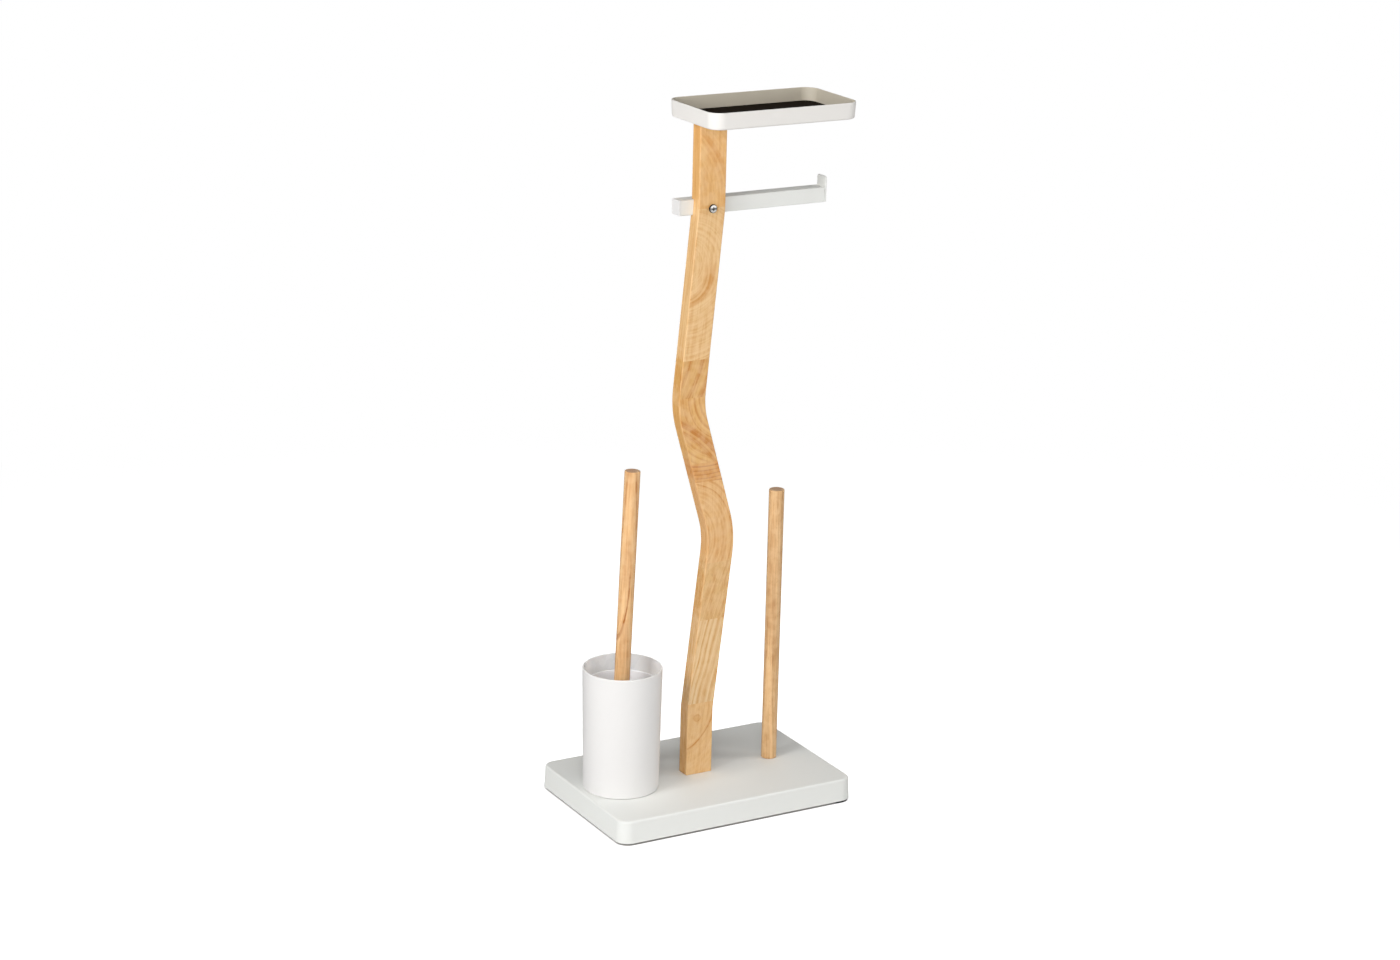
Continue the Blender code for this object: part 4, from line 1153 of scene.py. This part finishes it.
# %% Tube and plug
TUBE_WALL = 0.0012
TUBE_EDGE = 0.0011
BORE_EDGE = 0.0006
CUT_EDGE = 0.0002
TUBE_HOLE_REACH = 0.003
PLUG_DEPTH = 0.010
PLUG_TAPER = 0.001
CAP_EASE = ((0.0007, 0.0), (0.0002, 0.0001), (0.0, 0.0004))     # narrower by, at a depth of

tube_size = bar.high.y - bar.low.y
bore = tube_size - 2 * TUBE_WALL
left, right = bar.low.x, bar.high.x


def across_x(outline, x, middle):
    """A ring that stands across the X axis. The outline's u is height and its v is depth."""
    return [Vector((x, middle.y + v, middle.z + u)) for u, v in outline]


def square_rings(*rows):
    """Rings round the bar's middle line from (size, corner radius, x)."""
    return [across_x(rectangle(size, size, corner, steps=5), x, bar.middle) for size, corner, x in rows]


tube_rings = square_rings(
    (tube_size - 2 * CUT_EDGE, TUBE_EDGE, left),
    (tube_size, TUBE_EDGE, left + CUT_EDGE),
    (tube_size, TUBE_EDGE, right - CUT_EDGE),
    (tube_size - 2 * CUT_EDGE, TUBE_EDGE, right),
    (bore, BORE_EDGE, right),
    (bore, BORE_EDGE, left),
)
make_piece("bar_tube", join_rings(tube_rings, closed=True), [base_paint], "white_paint", "roll_bar",
           cuts=[(front_hole(bar.low.y, TUBE_HOLE_REACH), 0)])

cap = NodeBox("bar_end_cap")
plug = bore - 2 * GAP
face = cap.high.x - cap.low.x - PLUG_DEPTH
plug_rings = square_rings(
    *[(tube_size - narrower, TUBE_EDGE, cap.low.x + depth) for narrower, depth in CAP_EASE],
    (tube_size, TUBE_EDGE, cap.low.x + face),
    (plug, BORE_EDGE, cap.low.x + face),
    (plug, BORE_EDGE, cap.high.x - PLUG_TAPER),
    (plug - PLUG_TAPER, BORE_EDGE, cap.high.x),
)
make_piece("bar_plug", join_rings(plug_rings), [cup_plastic], "white_plastic", "bar_end_cap")

# %% Stop plate
PLATE_CORNER = 0.003
PLATE_EDGE = 0.0005
PLATE_ROUND = PLATE_EDGE * 0.3
PLATE_CORNERS = (PLATE_CORNER, TUBE_EDGE, TUBE_EDGE, PLATE_CORNER)      # round at the top

stop = NodeBox("bar_stop_plate")
plate_rings = []
for inset, x in ((PLATE_EDGE, stop.low.x), (PLATE_ROUND, stop.low.x + PLATE_ROUND),
                 (0.0, stop.low.x + PLATE_EDGE), (0.0, stop.high.x - PLATE_EDGE),
                 (PLATE_ROUND, stop.high.x - PLATE_ROUND), (PLATE_EDGE, stop.high.x)):
    plate_height = stop.height - 2 * inset
    plate_depth = stop.high.y - stop.low.y - 2 * inset
    outline = rectangle(plate_height, plate_depth, PLATE_CORNERS, steps=8)
    plate_rings.append(across_x(outline, x, stop.middle))
make_piece("stop_plate", join_rings(plate_rings), [base_paint], "white_paint", "bar_stop_plate")

# %% [markdown]
# ## Cup and liner
#
# Both are injection moulded and slightly wider at the rim, so that they leave the mould. The cup
# has a rounded foot and a rim rounded like half a pipe. The liner stands in it on a skirt, with a
# thin gap all round, and its rim ends well below the cup's. Each is one closed section turned about
# the cup's axis, in enough steps to look round close up.

# %% Cup
TURN_STEPS = 128
CUP_FOOT_RADIUS = 0.0429
CUP_WALL = 0.0020
CUP_FLOOR = 0.0025
CUP_FOOT_ROUND = 0.0015

cup = NodeBox("brush_cup")
cup_slope = (cup.radius - CUP_FOOT_RADIUS) / cup.height


def cup_radius(height):
    return CUP_FOOT_RADIUS + cup_slope * (height - cup.low.z)


rim = CUP_WALL / 2
inner_foot = cup_radius(cup.low.z + CUP_FLOOR) - CUP_WALL
cup_section = [(HOLE_RADIUS, cup.low.z)]
cup_section += arc(CUP_FOOT_RADIUS - CUP_FOOT_ROUND, cup.low.z + CUP_FOOT_ROUND, CUP_FOOT_ROUND, -90, 0)
cup_section += arc(cup.radius - rim, cup.high.z - rim, rim, 0, 180, 10)
cup_section += [(inner_foot, cup.low.z + CUP_FLOOR), (HOLE_RADIUS, cup.low.z + CUP_FLOOR)]
# The cup's inner walls get the painted light.
cup_body = mark_inside(turn_section(cup_section, TURN_STEPS, cup.middle, closed=True), cup.middle)
make_piece("cup_wall", cup_body, [cup_plastic, cup_inside_painted_light], "white_plastic", "brush_cup")

# %% Liner
LINER_WALL = 0.0015
LINER_GAP = 0.0005
LINER_FLOOR_LOW = 0.0383
LINER_FLOOR_HIGH = 0.0403
LINER_BEND = 0.003

liner = NodeBox("cup_liner")


def liner_radius(height):
    return cup_radius(height) - CUP_WALL - LINER_GAP


rim = LINER_WALL / 2
skirt = liner_radius(liner.low.z)
inside_low = liner_radius(LINER_FLOOR_HIGH) - LINER_WALL
liner_section = [(AXIS_RING, LINER_FLOOR_LOW), (skirt - LINER_WALL, LINER_FLOOR_LOW)]
liner_section += [(skirt - LINER_WALL, liner.low.z), (skirt, liner.low.z)]
liner_section += arc(liner_radius(liner.high.z) - rim, liner.high.z - rim, rim, 0, 180, 8)
for angle in range(0, 91, 15):
    inset = LINER_BEND * (1 - math.cos(math.radians(angle)))
    rise = LINER_BEND * (1 - math.sin(math.radians(angle)))
    liner_section.append((inside_low - inset, LINER_FLOOR_HIGH + rise))
liner_section.append((AXIS_RING, LINER_FLOOR_HIGH))
# The liner's inner walls get the painted light.
liner_body = mark_inside(turn_section(liner_section, TURN_STEPS, cup.middle), cup.middle)
make_piece("liner_wall", liner_body, [liner_plastic, liner_inside_painted_light], "liner_plastic", "cup_liner", "liner")

# %% [markdown]
# ## Dowels
#
# The rod for spare rolls and the brush handle are cut from the same dowel. Their ends are eased
# with sandpaper, and a hole is drilled up the foot for the screw or stud. The handle leans with the
# brush, so the brush's pieces are built upright in a frame of their own, which is then leant over.

# %% Rod and the brush's own frame
DOWEL_EASE = 0.0012
DOWEL_CHAMFER = 0.0005
DRILL_TIP = 0.001
BORE_END = 0.05             # of the bore's radius, the ring that closes it
TOP_RING = 0.5              # of the dowel's radius, the ring inside its top face
ROD_BORE = 0.033
DOWEL_STEPS = 72
BRUSH_LEAN = math.radians(2.15)
STUD_RADIUS = 0.003
STUD_FOOT = 0.0598          # of the stud, above the brush's lowest point


def dowel_section(radius, low, high, bore_radius, bore_depth):
    section = [(bore_radius * BORE_END, low + bore_depth), (bore_radius, low + bore_depth - DRILL_TIP)]
    section += [(bore_radius, low), (radius - DOWEL_CHAMFER, low), (radius, low + DOWEL_CHAMFER)]
    section += arc(radius - DOWEL_EASE, high - DOWEL_EASE, DOWEL_EASE, 0, 90)
    return section + [(radius * TOP_RING, high)]


rod = NodeBox("spare_roll_rod")
rod_body = turn_section(dowel_section(rod.radius, rod.low.z, rod.high.z, HOLE_RADIUS, ROD_BORE),
                        DOWEL_STEPS, rod.middle)
make_piece("spare_rod", rod_body, [rod_wood], "dowel_wood", "spare_roll_rod")

stud_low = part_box("brush_stud")[0]
brush_z = stud_low.z - STUD_FOOT * math.cos(BRUSH_LEAN) + STUD_RADIUS * math.sin(BRUSH_LEAN)
brush_x = cup.middle.x - math.tan(BRUSH_LEAN) * (cup.high.z - LINER_FLOOR_HIGH - GAP)
brush_frame = Matrix.Translation((brush_x, row_y, brush_z)) @ Matrix.Rotation(BRUSH_LEAN, 4, "Y")
print("brush stands on", rounded(brush_frame.translation))

# %% [markdown]
# The brush is screwed together from a sleeve of bristles, a plug through the sleeve, a cone-shaped
# socket and the handle, with a steel stud down the middle.

# %% Handle, socket and plug
HUB_RADIUS = 0.0070
HUB_BORE = 0.0050
HUB_LENGTH = 0.062
HUB_LIFT = 0.0130
HUB_DOME = 0.0050
FLANGE_RADIUS = 0.0085
FLANGE = 0.0025
NECK_WALL = 0.0018
NECK_FOOT_RADIUS = 0.0080
NECK_CONE = 0.014
NECK_SOCKET = 0.014
NECK_STEPS = 8
MOULD_EDGE = 0.0004
PLUG_EDGE = 0.0006
PLUG_STEPS = 48
HANDLE_LENGTH = 0.2653
STUD_BORE = 0.0034
STUD_BITE = 0.018

hub_top = HUB_LIFT + HUB_LENGTH
flange_low = hub_top + GAP
flange_top = flange_low + FLANGE
socket_foot = flange_top + GAP
socket_floor = socket_foot + NECK_CONE
handle_foot = socket_floor + GAP
on_brush = dict(body="brush", place=brush_frame)

handle_section = dowel_section(rod.radius, handle_foot, handle_foot + HANDLE_LENGTH, STUD_BORE,
                               STUD_BITE + DRILL_TIP)
handle_body = turn_section(handle_section, DOWEL_STEPS)
make_piece("handle_dowel", handle_body, [handle_wood], "dowel_wood", "brush_handle", **on_brush)

socket_bore = rod.radius + GAP
socket_radius = socket_bore + NECK_WALL
socket_top = socket_floor + NECK_SOCKET
lip = NECK_WALL / 2
neck_section = [(STUD_BORE, socket_foot), (NECK_FOOT_RADIUS - MOULD_EDGE, socket_foot),
                (NECK_FOOT_RADIUS, socket_foot + MOULD_EDGE)]
for step in range(1, NECK_STEPS + 1):
    share = step / NECK_STEPS
    ease = share * share * (3 - 2 * share)
    wide = NECK_FOOT_RADIUS + (socket_radius - NECK_FOOT_RADIUS) * (0.5 * share + 0.5 * ease)
    neck_section.append((wide, socket_foot + NECK_CONE * share))
neck_section += arc(socket_radius - lip, socket_top - lip, lip, 0, 180, 8)
neck_section += [(socket_bore, socket_floor), (STUD_BORE, socket_floor)]
neck_body = turn_section(neck_section, DOWEL_STEPS, closed=True)
make_piece("neck_socket", neck_body, [cup_plastic], "white_plastic", "brush_neck", **on_brush)

plug_foot = HUB_LIFT + HUB_DOME / 2 + GAP
bore_end = flange_top - STUD_BITE - DRILL_TIP
plug_section = [
    (AXIS_RING, plug_foot), (HUB_BORE - PLUG_EDGE, plug_foot), (HUB_BORE, plug_foot + PLUG_EDGE),
    (HUB_BORE, flange_low), (FLANGE_RADIUS - MOULD_EDGE, flange_low),
    (FLANGE_RADIUS, flange_low + MOULD_EDGE), (FLANGE_RADIUS, flange_top - MOULD_EDGE),
    (FLANGE_RADIUS - MOULD_EDGE, flange_top), (STUD_BORE, flange_top), (STUD_BORE, bore_end),
    (AXIS_RING, bore_end),
]
plug_body = turn_section(plug_section, PLUG_STEPS)
make_piece("sleeve_plug", plug_body, [cup_plastic], "white_plastic", "brush_core", **on_brush)

# %% [markdown]
# ## Bristles
#
# A real brush head holds a few thousand nylon filaments in tufts. The model carries one thick
# strand for each tuft. Here every tuft becomes a small bunch of thin, slightly bent filaments that
# spread towards their tips. The tufts stand in slanting rows round the sleeve, and the lowest ones
# splay down to the liner's floor. The spread comes from a seeded generator, so each run is alike.

# %% A filament and the sleeve
FILAMENT_RADIUS = 0.00026
FILAMENT_SEGMENTS = 4
TIP_THINNING = 0.7
DROOP = 0.0012

bristle_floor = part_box("brush_bristles")[0].z
points, quads = [], []


def sleeve_profile(share):
    """Radius and height of the sleeve's surface, from its domed end at 0 to its top at 1."""
    dome = HUB_DOME / HUB_LENGTH
    drop = max(0.0, 1 - share / dome)
    return HUB_RADIUS - (HUB_RADIUS - HUB_BORE) * drop * drop, HUB_LIFT + HUB_LENGTH * share


def add_filament(root, tip, side, across):
    """A thin four-sided strand from root to tip that droops a little."""
    first = len(points)
    for segment in range(FILAMENT_SEGMENTS + 1):
        share = segment / FILAMENT_SEGMENTS
        middle = root.lerp(tip, share) + Vector((0, 0, DROOP * share * (1 - share)))
        thick = FILAMENT_RADIUS * (1 - (1 - TIP_THINNING) * share)
        for turn in range(4):
            angle = FULL_TURN * turn / 4
            points.append(middle + side * (thick * math.cos(angle)) + across * (thick * math.sin(angle)))
    for segment in range(FILAMENT_SEGMENTS):
        start = first + 4 * segment
        for turn in range(4):
            other = (turn + 1) % 4
            quads.append((start + turn, start + other, start + 4 + other, start + 4 + turn))
    last = first + 4 * FILAMENT_SEGMENTS
    quads.append((first + 3, first + 2, first + 1, first))
    quads.append((last, last + 1, last + 2, last + 3))


def lowest_allowed(point):
    """Lifts a tip that would reach below the liner's floor once the brush leans."""
    world = brush_frame @ point
    short = bristle_floor + FILAMENT_RADIUS - world.z
    return point + Vector((0, 0, short)) if short > 0 else point


print("bristles end at height", round(bristle_floor, 4))

# %% Grow the bristles
TUFTS_AROUND = 20
TUFT_ROWS = 20
FILAMENTS = 7
TUFT_RADIUS = 0.0007
TUFT_ROOT = 0.0008          # how deep a tuft sits in the sleeve
TIP_SPREAD = 0.0016
TIP_CLEAR = 0.0028          # between the longest tips and the liner's wall
LENGTH_SPREAD = 0.05
SPLAY_ANGLE = math.radians(56)
SPLAY_ROWS_SHARE = 0.30
SLEEVE_STEPS = 40
SLEEVE_ROWS = 20
SEED = 7

reach = liner_radius(LINER_FLOOR_HIGH) - LINER_WALL - abs(brush_x - cup.middle.x) - TIP_CLEAR
chance = random.Random(SEED)
for row in range(TUFT_ROWS):
    sleeve_radius, height = sleeve_profile((row + 0.5) / TUFT_ROWS)
    splay = SPLAY_ANGLE * max(0.0, 1 - (row / TUFT_ROWS) / SPLAY_ROWS_SHARE)
    for place_in_row in range(TUFTS_AROUND):
        angle = FULL_TURN / TUFTS_AROUND * (place_in_row + 0.5 + (row + 0.5) / 2)
        outward = Vector((math.cos(angle), math.sin(angle), 0.0))
        across = Vector((-math.sin(angle), math.cos(angle), 0.0))
        direction = outward * math.cos(splay) - Vector((0, 0, math.sin(splay)))
        upright = across.cross(direction)
        length = (reach - sleeve_radius) / math.cos(splay)
        if splay > 0:
            length = min(length, reach - HUB_RADIUS, (height - FILAMENT_RADIUS) / math.sin(splay))
        for filament in range(FILAMENTS):
            turn = FULL_TURN * (filament + chance.random()) / FILAMENTS
            spread = math.sqrt((filament + 0.5) / FILAMENTS)
            offset = across * math.cos(turn) + upright * math.sin(turn)
            root = outward * (sleeve_radius - TUFT_ROOT) + Vector((0, 0, height))
            root += offset * (TUFT_RADIUS * spread)
            own_length = length * (1 - LENGTH_SPREAD * chance.random())
            tip = root + direction * own_length + offset * (TIP_SPREAD * spread)
            add_filament(root, lowest_allowed(tip), across, upright)

bristle_mesh = bpy.data.meshes.new("bristle_tufts")
bristle_mesh.from_pydata([tuple(p) for p in points], [], quads)
sleeve_rings = [circle(*sleeve_profile(row / SLEEVE_ROWS), SLEEVE_STEPS) for row in range(SLEEVE_ROWS + 1)]
for height in (hub_top, HUB_LIFT + HUB_DOME / 2):
    sleeve_rings.append(circle(HUB_BORE + GAP, height, SLEEVE_STEPS))
bristle_body = join_rings(sleeve_rings)
bristle_body.from_mesh(bristle_mesh)
make_piece("bristle_tufts", bristle_body, [bristle_nylon], "bristle_plastic", "brush_bristles",
           flat_first=False, **on_brush)
print("filaments:", TUFT_ROWS * TUFTS_AROUND * FILAMENTS)

# %% [markdown]
# ## Screws, washers and nuts
#
# A screw is a turned head over a threaded shank. The thread is made by moving the shank's points
# out where a helix passes: the height along the shank and the angle round it together say how far
# along the thread a point is. Wood screws taper to a tip, machine screws end flat. The cross in the
# head is cut with a tapered cross, and its walls get the dark metal, which is painted shade. The rim
# of the bar's screw gets that metal too, as a painted ring of shade against the wood.

# %% Thread
SHANK_RADIUS = 0.0025
SHANK_CORE_RADIUS = 0.0019
SHANK_STEPS = 20
THREAD_PITCH = 0.0016
THREAD_STEPS = 6
CREST_HALF = 0.3            # of a pitch
TIP_LENGTH = 0.005
TIP_SHARE = 0.12            # of the radius, left at a pointed tip
BLUNT_LENGTH = 0.003
BLUNT_SHARE = 0.8
PLAIN_LENGTH = 0.001        # of the shank, under the head
THREAD_FADE = 0.002


def thread_rings(length, radius, core_radius, top, pointed):
    rings = []
    count = math.ceil(length / THREAD_PITCH * THREAD_STEPS)
    for step in range(count + 1):
        height = top - length + length * step / count
        from_tip = height - (top - length)
        end = TIP_SHARE + from_tip / TIP_LENGTH if pointed else BLUNT_SHARE + from_tip / BLUNT_LENGTH
        taper = min(1.0, end)
        fade = min(1.0, max(0.0, (top - height - PLAIN_LENGTH) / THREAD_FADE))
        ring = []
        for point in range(SHANK_STEPS):
            angle = FULL_TURN * point / SHANK_STEPS
            along = (height / THREAD_PITCH - angle / FULL_TURN) % 1.0
            crest = max(0.0, 1 - abs(along - 0.5) / CREST_HALF)
            wide = (core_radius + (radius - core_radius) * max(crest, 1 - fade)) * taper
            ring.append(on_circle(wide, angle, height))
        rings.append(ring)
    return rings


print("thread pitch:", THREAD_PITCH)

# %% Head and cross
HEAD_RADIUS = 0.0048
HEAD_EDGE = 0.0009
HEAD_DOME = 0.0004
EDGE_AT_MOST = 0.45         # of a low head's height
DOME_AT_MOST = 0.2
DOME_SHARES = (0.75, 0.5, 0.25, 0.06)
CROSS_ARM = 0.0028
CROSS_HALF = 0.00060
CROSS_DEPTH = 0.0016
CROSS_PAST = 0.001
CROSS_NARROWING = 0.5
PAINTED_SHADE_RIM = 0.0037
ROUND_OFF = 0.0002


def screw_body(length, head_height, pointed):
    """A screw along Z with its head above the plane Z = 0."""
    rings = thread_rings(length + GAP, SHANK_RADIUS, SHANK_CORE_RADIUS, GAP, pointed)
    edge = min(HEAD_EDGE, head_height * EDGE_AT_MOST)
    dome = min(HEAD_DOME, head_height * DOME_AT_MOST)
    profile = [(HEAD_RADIUS - ROUND_OFF, GAP), (HEAD_RADIUS, GAP + ROUND_OFF)]
    profile += arc(HEAD_RADIUS - edge, GAP + head_height - dome - edge, edge, 0, 80, 5)
    last_radius, last_height = profile[-1]
    for share in DOME_SHARES:
        rise = (GAP + head_height - last_height) * (1 - share * share)
        profile.append((last_radius * share, last_height + rise))
    return join_rings(rings + [circle(radius, height, SHANK_STEPS) for radius, height in profile])


def cross_cutter(top):
    rings = []
    for height, share in ((top - CROSS_DEPTH, CROSS_NARROWING), (top + CROSS_PAST, 1.0)):
        arm = CROSS_ARM * share
        outline = []
        for quarter in range(4):
            turn = Matrix.Rotation(math.pi / 2 * quarter, 2)
            for corner in ((arm, -CROSS_HALF), (arm, CROSS_HALF), (CROSS_HALF, CROSS_HALF)):
                outline.append(tuple(turn @ Vector(corner)))
        rings.append(lay_flat(outline, height))
    return join_rings(rings)


def add_screw(node, seat, turn, length, head_height, metal, slot, pointed=True, painted_shade_rim=False):
    """A screw whose head sits on seat."""
    body = screw_body(length, head_height, pointed)
    # Faces near the rim of the head get the dark metal: a painted ring of shade.
    for face in body.faces:
        if painted_shade_rim and face.calc_center_median().xy.length > PAINTED_SHADE_RIM:
            face.material_index = 1
    make_piece("threaded_" + node, body, [metal, painted_shade_metal], slot, node,
               cuts=[(cross_cutter(GAP + head_height), 1)], place=Matrix.Translation(seat) @ turn)


print("screw heads:", 2 * HEAD_RADIUS, "wide")

# %% Screws
HEAD_HEIGHT = 0.0028
TRAY_HEAD_HEIGHT = 0.0014

point_up = Matrix.Rotation(math.pi, 4, "X")
point_down = Matrix.Identity(4)
face_front = Matrix.Rotation(math.pi / 2, 4, "X")
for name in BASE_SCREWS:
    screw = NodeBox("screw_" + name)
    seat = Vector((*screw.middle.xy, screw.low.z + GAP + HEAD_HEIGHT))
    add_screw("screw_" + name, seat, point_up, screw.high.z - seat.z, HEAD_HEIGHT, zinc_plate, "zinc",
              pointed=name != "cup")
for name in TRAY_SCREWS:
    screw = NodeBox("screw_" + name)
    seat = Vector((*screw.middle.xy, screw.high.z - GAP - TRAY_HEAD_HEIGHT))
    add_screw("screw_" + name, seat, point_down, seat.z - screw.low.z, TRAY_HEAD_HEIGHT, zinc_plate, "zinc")
screw = NodeBox("bar_screw")
seat = Vector((screw.middle.x, screw.low.y + GAP + HEAD_HEIGHT, screw.middle.z))
add_screw("bar_screw", seat, face_front, screw.high.y - seat.y, HEAD_HEIGHT, chrome_plate, "chrome",
          pointed=False, painted_shade_rim=True)

# %% [markdown]
# Washers are stamped and tumbled, so their outer edges are rounded. A nut is a hexagon whose
# corners are turned off to a circle on both faces. The stud is plain threaded rod.

# %% Washers, nuts and stud
NUT_CHAMFER = 0.0007
CHAMFER_SHARE = 0.6         # of its width, which its height is
NUT_STEPS = 72
WASHER_STEPS = 48
STUD_CORE_RADIUS = 0.0024


def washer_body(radius, height):
    section = [(radius - ROUND_OFF, 0.0), (radius, ROUND_OFF), (radius, height - ROUND_OFF),
               (radius - ROUND_OFF, height), (HOLE_RADIUS, height), (HOLE_RADIUS, 0.0)]
    return turn_section(section, WASHER_STEPS, closed=True)


def nut_body(radius, height):
    """A hexagon nut on Z = 0 whose corners reach to the radius."""
    flat_reach = radius * math.cos(math.pi / 6)
    chamfer_height = NUT_CHAMFER * CHAMFER_SHARE
    rings = []
    for level_z, widest in ((0.0, radius - NUT_CHAMFER), (chamfer_height, radius),
                            (height - chamfer_height, radius), (height, radius - NUT_CHAMFER)):
        ring = []
        for step in range(NUT_STEPS):
            angle = FULL_TURN * step / NUT_STEPS
            off_flat = (angle % (math.pi / 3)) - math.pi / 6
            wide = min(widest, flat_reach / math.cos(off_flat))
            ring.append(on_circle(wide, angle, level_z))
        rings.append(ring)
    rings += [circle(HOLE_RADIUS, level_z, NUT_STEPS) for level_z in (height, 0.0)]
    return join_rings(rings, closed=True)


def on_foot(room):
    """The matrix that stands a piece in the middle of its box, on its lowest level."""
    return Matrix.Translation((*room.middle.xy, room.low.z))


for name in BASE_SCREWS:
    washer = NodeBox("washer_" + name)
    make_piece("stamped_washer_" + name, washer_body(washer.radius, washer.height), [zinc_plate], "zinc",
               "washer_" + name, place=on_foot(washer))

nut = NodeBox("cup_nut")
nut_piece = nut_body(nut.radius, nut.height)
make_piece("hexagon_cup_nut", nut_piece, [zinc_plate], "zinc", "cup_nut", place=on_foot(nut))
nut = NodeBox("bar_nut")
nut_piece = nut_body(nut.radius, nut.high.y - nut.low.y)
nut_place = Matrix.Translation((nut.middle.x, nut.high.y, nut.middle.z)) @ face_front
make_piece("hexagon_bar_nut", nut_piece, [zinc_plate], "zinc", "bar_nut", place=nut_place)

stud_length = 2 * STUD_BITE + handle_foot - flange_top
stud_rings = thread_rings(stud_length, STUD_RADIUS, STUD_CORE_RADIUS, handle_foot + STUD_BITE, False)
make_piece("threaded_stud", join_rings(stud_rings), [zinc_plate], "zinc", "brush_stud", **on_brush)

# %% [markdown]
# ## Studio
#
# Product photographs of white things are lit with large soft boxes in front of white paper. The
# world gives an even fill. It looks fully white to the camera and in reflections, and is dimmer as
# a source of light, so white paint keeps its tone.
#
# The floor is pale, too. Seen by the camera it is a little brighter than its light makes it, so that
# it is plain white beyond the object's shadow, and it fades into the white of the world. Close round
# the object, ambient occlusion darkens what the camera sees of it: a painted shadow.

# %% World
FILL_LIGHT = 0.045

world = bpy.data.worlds.new("white studio")
bpy.context.scene.world = world
world.use_nodes = True
ray = world.node_tree.nodes.new("ShaderNodeLightPath").outputs
reflected = maths("MAXIMUM", ray["Is Glossy Ray"], ray["Is Transmission Ray"])
seen = maths("MAXIMUM", ray["Is Camera Ray"], reflected)
background = world.node_tree.nodes["Background"].inputs
background["Color"].default_value = (1.0, 1.0, 1.0, 1.0)
fill_input(background["Strength"], plus(FILL_LIGHT, times(seen, 1.0 - FILL_LIGHT)))
print("world fill:", FILL_LIGHT)

# %% Floor
FLOOR_RADIUS = 6.0
FLOOR_STEPS = 96
FLOOR_DEPTH = 0.02
FLOOR_PALE = 0.80
# The shadow close round the object is painted by ambient occlusion in the floor's colour.
PAINTED_SHADOW_REACH = 0.030       # how far from the object its contact shadow fades
PAINTED_SHADOW_FULL = 0.92
PAINTED_SHADOW_TONE = 0.16
GLOW = 0.35
FAR_FADE = (0.6, 1.6)       # from the object, where the floor turns white

floor_rings = [circle(FLOOR_RADIUS, height, FLOOR_STEPS) for height in (-FLOOR_DEPTH, 0.0)]
floor_material, tree, shader = new_material("pale floor", Roughness=0.9)
fill_input(shader.inputs["Base Color"], (FLOOR_PALE, FLOOR_PALE, FLOOR_PALE))
ray = tree.nodes.new("ShaderNodeLightPath").outputs
# Ambient occlusion darkens the floor's colour near the object, for the camera only: painted shadow.
near = add_node(tree, "ShaderNodeAmbientOcclusion", {"Distance": PAINTED_SHADOW_REACH}, samples=16).outputs["AO"]
painted_shadow_factor = rescale(near, 0.0, PAINTED_SHADOW_FULL, PAINTED_SHADOW_TONE, 1.0)
lit = add_node(tree, "ShaderNodeBsdfDiffuse", {"Color": painted_shadow_factor}).outputs[0]
glow = add_node(tree, "ShaderNodeEmission", {"Color": painted_shadow_factor, "Strength": GLOW}).outputs[0]
both = add_node(tree, "ShaderNodeAddShader", {0: lit, 1: lit}).outputs[0]
near_look = add_node(tree, "ShaderNodeAddShader", {0: both, 1: glow}).outputs[0]
far_look = add_node(tree, "ShaderNodeEmission", {"Strength": 1.0}).outputs[0]
far = rescale(length_of(object_place(tree)), *FAR_FADE)
look = add_node(tree, "ShaderNodeMixShader", {0: far, 1: near_look, 2: far_look}).outputs[0]
surface = add_node(tree, "ShaderNodeMixShader", {0: ray["Is Camera Ray"], 1: shader.outputs[0], 2: look})
fill_input(tree.nodes["Material Output"].inputs["Surface"], surface.outputs[0])
floor = to_object("floor", join_rings(floor_rings), [floor_material])
floor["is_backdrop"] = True
print("floor radius:", FLOOR_RADIUS)

# %% [markdown]
# The strongest soft box stands on the left and models the post and the cup, and the one in front
# keeps the faces that look at the camera light. A weaker one on the right opens the shadows, a
# small lamp close by lifts the cup and the base beside it, and one overhead lights the level faces.

# %% Soft boxes
AIM = Vector((0.0, 0.0, 0.40))
SOFT_BOXES = (
    # name, bearing in degrees from the front round to the left, distance, height, size and power
    ("left soft box", 75.0, 2.2, 1.55, (0.8, 1.0), 29.5),
    ("front soft box", 30.0, 2.4, 1.10, (0.8, 1.3), 23.3),
    ("right soft box", -60.0, 2.2, 1.00, (0.8, 1.0), 13.6),
    ("near lamp", 55.0, 1.4, 1.00, (0.6, 0.6), 3.6),
    ("top soft box", 0.0, 0.9, 3.10, (1.4, 1.4), 17.0),
)

for name, bearing, distance, height, size, power in SOFT_BOXES:
    light = bpy.data.lights.new(name, "AREA")
    light.shape = "RECTANGLE"
    light.size, light.size_y = size
    light.energy = power
    box = bpy.data.objects.new(name, light)
    bpy.context.scene.collection.objects.link(box)
    turn = math.radians(bearing)
    box.location = (-math.sin(turn) * distance, -math.cos(turn) * distance, height)
    box.rotation_euler = (box.location - AIM).to_track_quat("Z", "Y").to_euler()
    print(name, "at", rounded(box.location, 2), "with", power, "W")

# %% [markdown]
# ## Last steps
#
# Colours are shown as they are, with the plain view transform. The box of the dressed object is
# written next to the box of the model, so that the two can be compared after each render.

# %% View and size
bpy.context.scene.view_settings.view_transform = "Standard"
dressed_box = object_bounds()
print("dressed box:", [rounded(corner) for corner in dressed_box])
